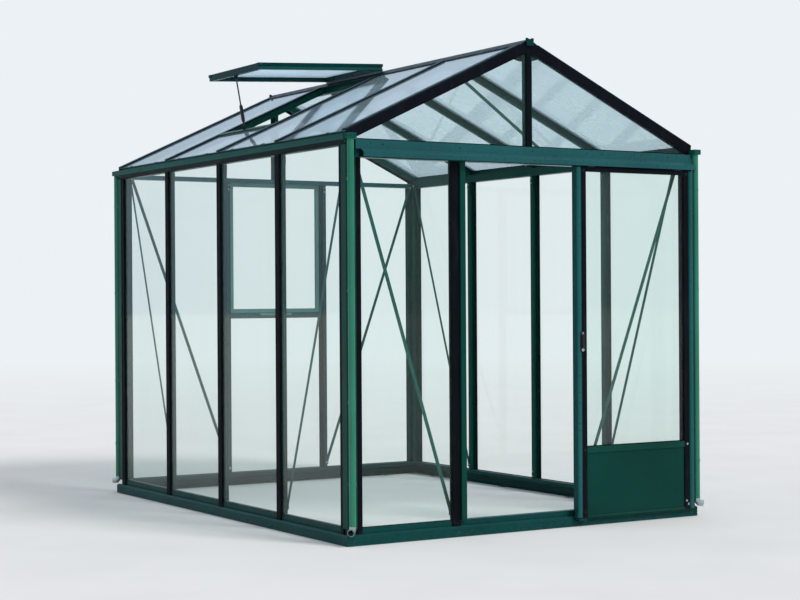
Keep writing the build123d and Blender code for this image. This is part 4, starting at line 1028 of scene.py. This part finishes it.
# Paler green over the lower halves of the vent's side rails than their darker paint: painted light
skirts = bmesh.new()
for near, far in ((VENT_LOW - SKIRT_THICKNESS, VENT_LOW), (VENT_HIGH, VENT_HIGH + SKIRT_THICKNESS)):
    low, high = (near, 0.0, SKIRT_LEVELS[0]), (far, VENT_LENGTH, SKIRT_LEVELS[1])
    block(skirts, low, high, 0.0002, vent_frame())
piece(skirts, "vent_skirts_painted_light", gutter_green)

# Door leaf: brushes on its top and down its back, beads under its glass
TOP_BRUSH_INSET = 0.002
TOP_BRUSH_DEPTHS = (-0.022, -0.010)
TOP_BRUSH_HEIGHT = 0.0086
BACK_BRUSH = 0.008
BACK_BRUSH_INSET = 0.006
BACK_BRUSH_DEPTHS = (-LEAF_BACK, -0.0014)
BACK_BRUSH_LEVELS = (LEAF_BOTTOM + 0.012, LEAF_TOP - 0.010)
PANE_BEAD = 0.0038
PANE_BEAD_DEPTHS = (-0.0258, -0.0140)
PANE_BEAD_LEVELS = (0.4450, 0.4495)
brushes = bmesh.new()
lines = (LEAF_LEFT + TOP_BRUSH_INSET, LEAF_RIGHT - TOP_BRUSH_INSET)
wall_block(brushes, "front", lines, TOP_BRUSH_DEPTHS, (LEAF_TOP, LEAF_TOP + TOP_BRUSH_HEIGHT))
for x in (LEAF_LEFT + BACK_BRUSH_INSET, LEAF_RIGHT - BACK_BRUSH_INSET - BACK_BRUSH):
    wall_block(brushes, "front", (x, x + BACK_BRUSH), BACK_BRUSH_DEPTHS, BACK_BRUSH_LEVELS)
lines = (LEAF_LEFT + STILE + SEAL, LEAF_RIGHT - STILE - SEAL)
for depth in PANE_BEAD_DEPTHS:
    wall_block(brushes, "front", lines, (depth, depth + PANE_BEAD), PANE_BEAD_LEVELS)
piece(brushes, "door_brushes", seal_rubber, "door")

# Door leaf: bright screws, lock cylinder and hanger bolts, then the dark screws. The leaf's screws are alike:
# steel on three is a painted highlight, black on the rest painted shade
LEAF_SCREW = 0.0046
LEAF_SCREW_INSET = 0.054
LEAF_SCREW_LEVELS = (0.078, 0.428, 1.995)
# The three that catch the light, from the right edge of the leaf and from the ground
FOOT_SCREWS = ((-0.061, 0.098), (-0.047, 0.078), (-0.054, 0.428))
# Face of the cylinder: radius and height of its rings
LOCK_CYLINDER = (
    (0.0088, 0.0),
    (0.0088, 0.0014),
    (0.0080, 0.0022),
    (0.0062, 0.0024),
    (0.0060, 0.0016),
    (0.0, 0.0016),
)
CYLINDER_DROP = 0.046
LOCK_SCREW_RISE = 0.047
LOCK_SCREW = 0.0036
HANGER_BOLT = 0.0036
HANGER_BOLT_X = 0.016
HANGER_BOLT_OUT = 0.027
HANGER_BOLT_LEVEL = 2.0255
OUTWARD = -INWARD["front"]
door_screws = bmesh.new()
for offset, level in FOOT_SCREWS:
    pan_head(door_screws, (LEAF_RIGHT + offset, FRONT - SEAL_OUT, level), OUTWARD, LEAF_SCREW)
at = wall_frame("front", LOCK_X, -LOCK_OUT, LOCK_LEVEL - CYLINDER_DROP)
lathe(door_screws, [(*ring, False) for ring in LOCK_CYLINDER], at, 28)
pan_head(door_screws, (LOCK_X, FRONT - LOCK_OUT, LOCK_LEVEL + LOCK_SCREW_RISE), OUTWARD, LOCK_SCREW)
for hanger_x in (LEAF_LEFT + HANGER_INSET, LEAF_RIGHT - HANGER_INSET):
    for offset in (-HANGER_BOLT_X, HANGER_BOLT_X):
        point = (hanger_x + offset, FRONT - HANGER_BOLT_OUT, HANGER_BOLT_LEVEL)
        hex_bolt(door_screws, point, INWARD["front"], HANGER_BOLT, False)
piece(door_screws, "door_screws", steel, "door")
# Black on these screws stands in for shade on them: painted shade
painted_shade_screws = bmesh.new()
dark_places = [(LEAF_RIGHT - LEAF_SCREW_INSET, LEAF_SCREW_LEVELS[-1])]
dark_places += [(LEAF_LEFT + LEAF_SCREW_INSET, level) for level in LEAF_SCREW_LEVELS]
for x, level in dark_places:
    pan_head(painted_shade_screws, (x, FRONT - SEAL_OUT, level), OUTWARD, LEAF_SCREW)
piece(painted_shade_screws, "painted_shade_screws", black_plastic, "door")

# Door leaf: rounded faces of the stiles, in teal lighter than the stile paint: a painted highlight
CROWN_STEPS = 10
CROWN_HALF, CROWN_RISE = 0.011, 0.0032
CROWN_INSET = 0.002
crowns = bmesh.new()
arc = []
for step in range(CROWN_STEPS + 1):
    across = -CROWN_HALF + 2 * CROWN_HALF * step / CROWN_STEPS
    arc.append((across, CROWN_RISE * (1 - (across / CROWN_HALF) ** 2)))
for x in (LEAF_LEFT + STILE / 2, LEAF_RIGHT - STILE / 2):
    levels = (LEAF_BOTTOM + CROWN_INSET, LEAF_TOP - CROWN_INSET)
    foot, head = ((x, FRONT - LEAF_OUT, level) for level in levels)
    bar_between(crowns, foot, head, arc, OUTWARD)
piece(crowns, "stile_crowns_painted_highlight", painted_light_teal, "door")

# Door leaf: keyhole, and ribs on the handle
GRIP_RIBS = 11
GRIP_PITCH = 0.0052
GRIP_HALF_WIDTH, GRIP_HALF_HEIGHT = 0.0062, 0.001
lock_parts = bmesh.new()
keyhole = wall_frame("front", LOCK_X, -LOCK_OUT - LOCK_CYLINDER[-1][1], LOCK_LEVEL - CYLINDER_DROP)
block(lock_parts, (-0.0009, -0.0040, 0), (0.0009, 0.0034, 0.0006), 0.0002, keyhole)
grip = wall_frame("front", LOCK_X, -HANDLE_OUT, LOCK_LEVEL)
for number in range(GRIP_RIBS):
    middle = (number - (GRIP_RIBS - 1) / 2) * GRIP_PITCH
    low = (-GRIP_HALF_WIDTH, middle - GRIP_HALF_HEIGHT, -0.0004)
    high = (GRIP_HALF_WIDTH, middle + GRIP_HALF_HEIGHT, 0.0009)
    block(lock_parts, low, high, 0.0004, grip)
piece(lock_parts, "lock_parts", black_plastic, "door")

# Screws gathered from the sections above
piece(painted_screws, "painted_screws", green)
piece(base_screws, "frame_screws", dull_steel)

# Camera, light and studio: lengths in metres, angles in radians
CAMERA_PLACE = (-5.686, -9.4945, 1.2885)
CAMERA_YAW = math.radians(31.33)
CAMERA_PITCH = -0.0014
CAMERA_ROLL = -0.0061
SENSOR_MM = 36.0
LENS_MM = 79.46
BACKDROP = srgb(236, 241, 245)
SKY_LIGHT = srgb(244, 247, 255)
SKY_LIGHT_STRENGTH = 0.64
SKY_MIRRORED = srgb(212, 234, 252)
MIRRORED_STRENGTHS = (0.62, 1.15)
SUN_FROM = (0.34, -0.8, 0.78)
SUN_STRENGTH = 1.9
SUN_ANGLE = math.radians(18)
SUN_COLOUR = (1.0, 0.985, 0.95)
FLOOR_REACH = 120.0
FLOOR_FADE = (5.0, 26.0)
FLOOR_TONES = (srgb(228, 229, 228), srgb(233, 234, 233))
FLOOR_DROP = 0.0005


def stand_camera():
    """Camera where the photograph was taken."""
    data = bpy.data.cameras.new("camera")
    data.sensor_width = SENSOR_MM
    data.lens = LENS_MM
    data.clip_end = 300.0
    camera = bpy.data.objects.new("camera", data)
    bpy.context.scene.collection.objects.link(camera)
    level_way = Vector((math.sin(CAMERA_YAW), math.cos(CAMERA_YAW), 0)) * math.cos(CAMERA_PITCH)
    ahead = level_way + Vector((0, 0, math.sin(CAMERA_PITCH)))
    sideways = Vector((math.cos(CAMERA_YAW), -math.sin(CAMERA_YAW), 0))
    upright = sideways.cross(ahead)
    rolled = sideways * math.cos(CAMERA_ROLL) + upright * math.sin(CAMERA_ROLL)
    turned = Matrix((rolled, rolled.cross(ahead), -ahead)).transposed().to_4x4()
    camera.matrix_world = Matrix.Translation(CAMERA_PLACE) @ turned
    bpy.context.scene.camera = camera


def light_studio():
    """Plain pale world that lights softly, with a brighter overhead in mirrors, and a broad sun."""
    world = bpy.data.worlds.new("studio")
    bpy.context.scene.world = world
    g = Graph(world, "ShaderNodeOutputWorld")

    def background(colour, strength):
        return g.node("ShaderNodeBackground", {"Color": colour, "Strength": strength}).outputs[0]

    rays = g.node("ShaderNodeLightPath").outputs
    overhead = g.ranged(g.height(g.places["Generated"]), 0.0, 0.5, *MIRRORED_STRENGTHS)
    lit = background(SKY_LIGHT, SKY_LIGHT_STRENGTH)
    reflected = g.blended(rays["Is Glossy Ray"], lit, background(SKY_MIRRORED, overhead))
    seen = g.maths("MAXIMUM", rays["Is Camera Ray"], rays["Is Transmission Ray"])
    g.shade(g.blended(seen, reflected, background(BACKDROP, 1.0)))

    data = bpy.data.lights.new("soft_sun", "SUN")
    data.energy = SUN_STRENGTH
    data.angle = SUN_ANGLE
    data.color = SUN_COLOUR
    sun = bpy.data.objects.new("soft_sun", data)
    bpy.context.scene.collection.objects.link(sun)
    sun.visible_glossy = False
    sun.rotation_euler = Vector(SUN_FROM).to_track_quat("Z", "Y").to_euler()


def lay_floor():
    """Matt pale floor that fades into the backdrop."""
    g = Graph(bpy.data.materials.new("floor"))
    reach = g.node("ShaderNodeVectorMath", {0: g.where}, operation="LENGTH").outputs["Value"]
    pale = g.mixed(g.ranged(g.noise(1.2, 3.0), 0.3, 0.7), *FLOOR_TONES)
    matt = g.node("ShaderNodeBsdfDiffuse", {"Color": pale}).outputs[0]
    glow = g.node("ShaderNodeEmission", {"Color": BACKDROP}).outputs[0]
    material = g.shade(g.blended(g.ranged(reach, *FLOOR_FADE), matt, glow))
    bm = bmesh.new()
    bmesh.ops.create_grid(bm, x_segments=8, y_segments=8, size=FLOOR_REACH)
    mesh = bpy.data.meshes.new("floor")
    bm.to_mesh(mesh)
    bm.free()
    mesh.materials.append(material)
    floor = bpy.data.objects.new("floor", mesh)
    bpy.context.scene.collection.objects.link(floor)
    floor.location.z = -FLOOR_DROP
    floor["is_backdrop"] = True


stand_camera()
light_studio()
lay_floor()
bpy.context.scene.view_settings.view_transform = "Standard"
low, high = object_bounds()
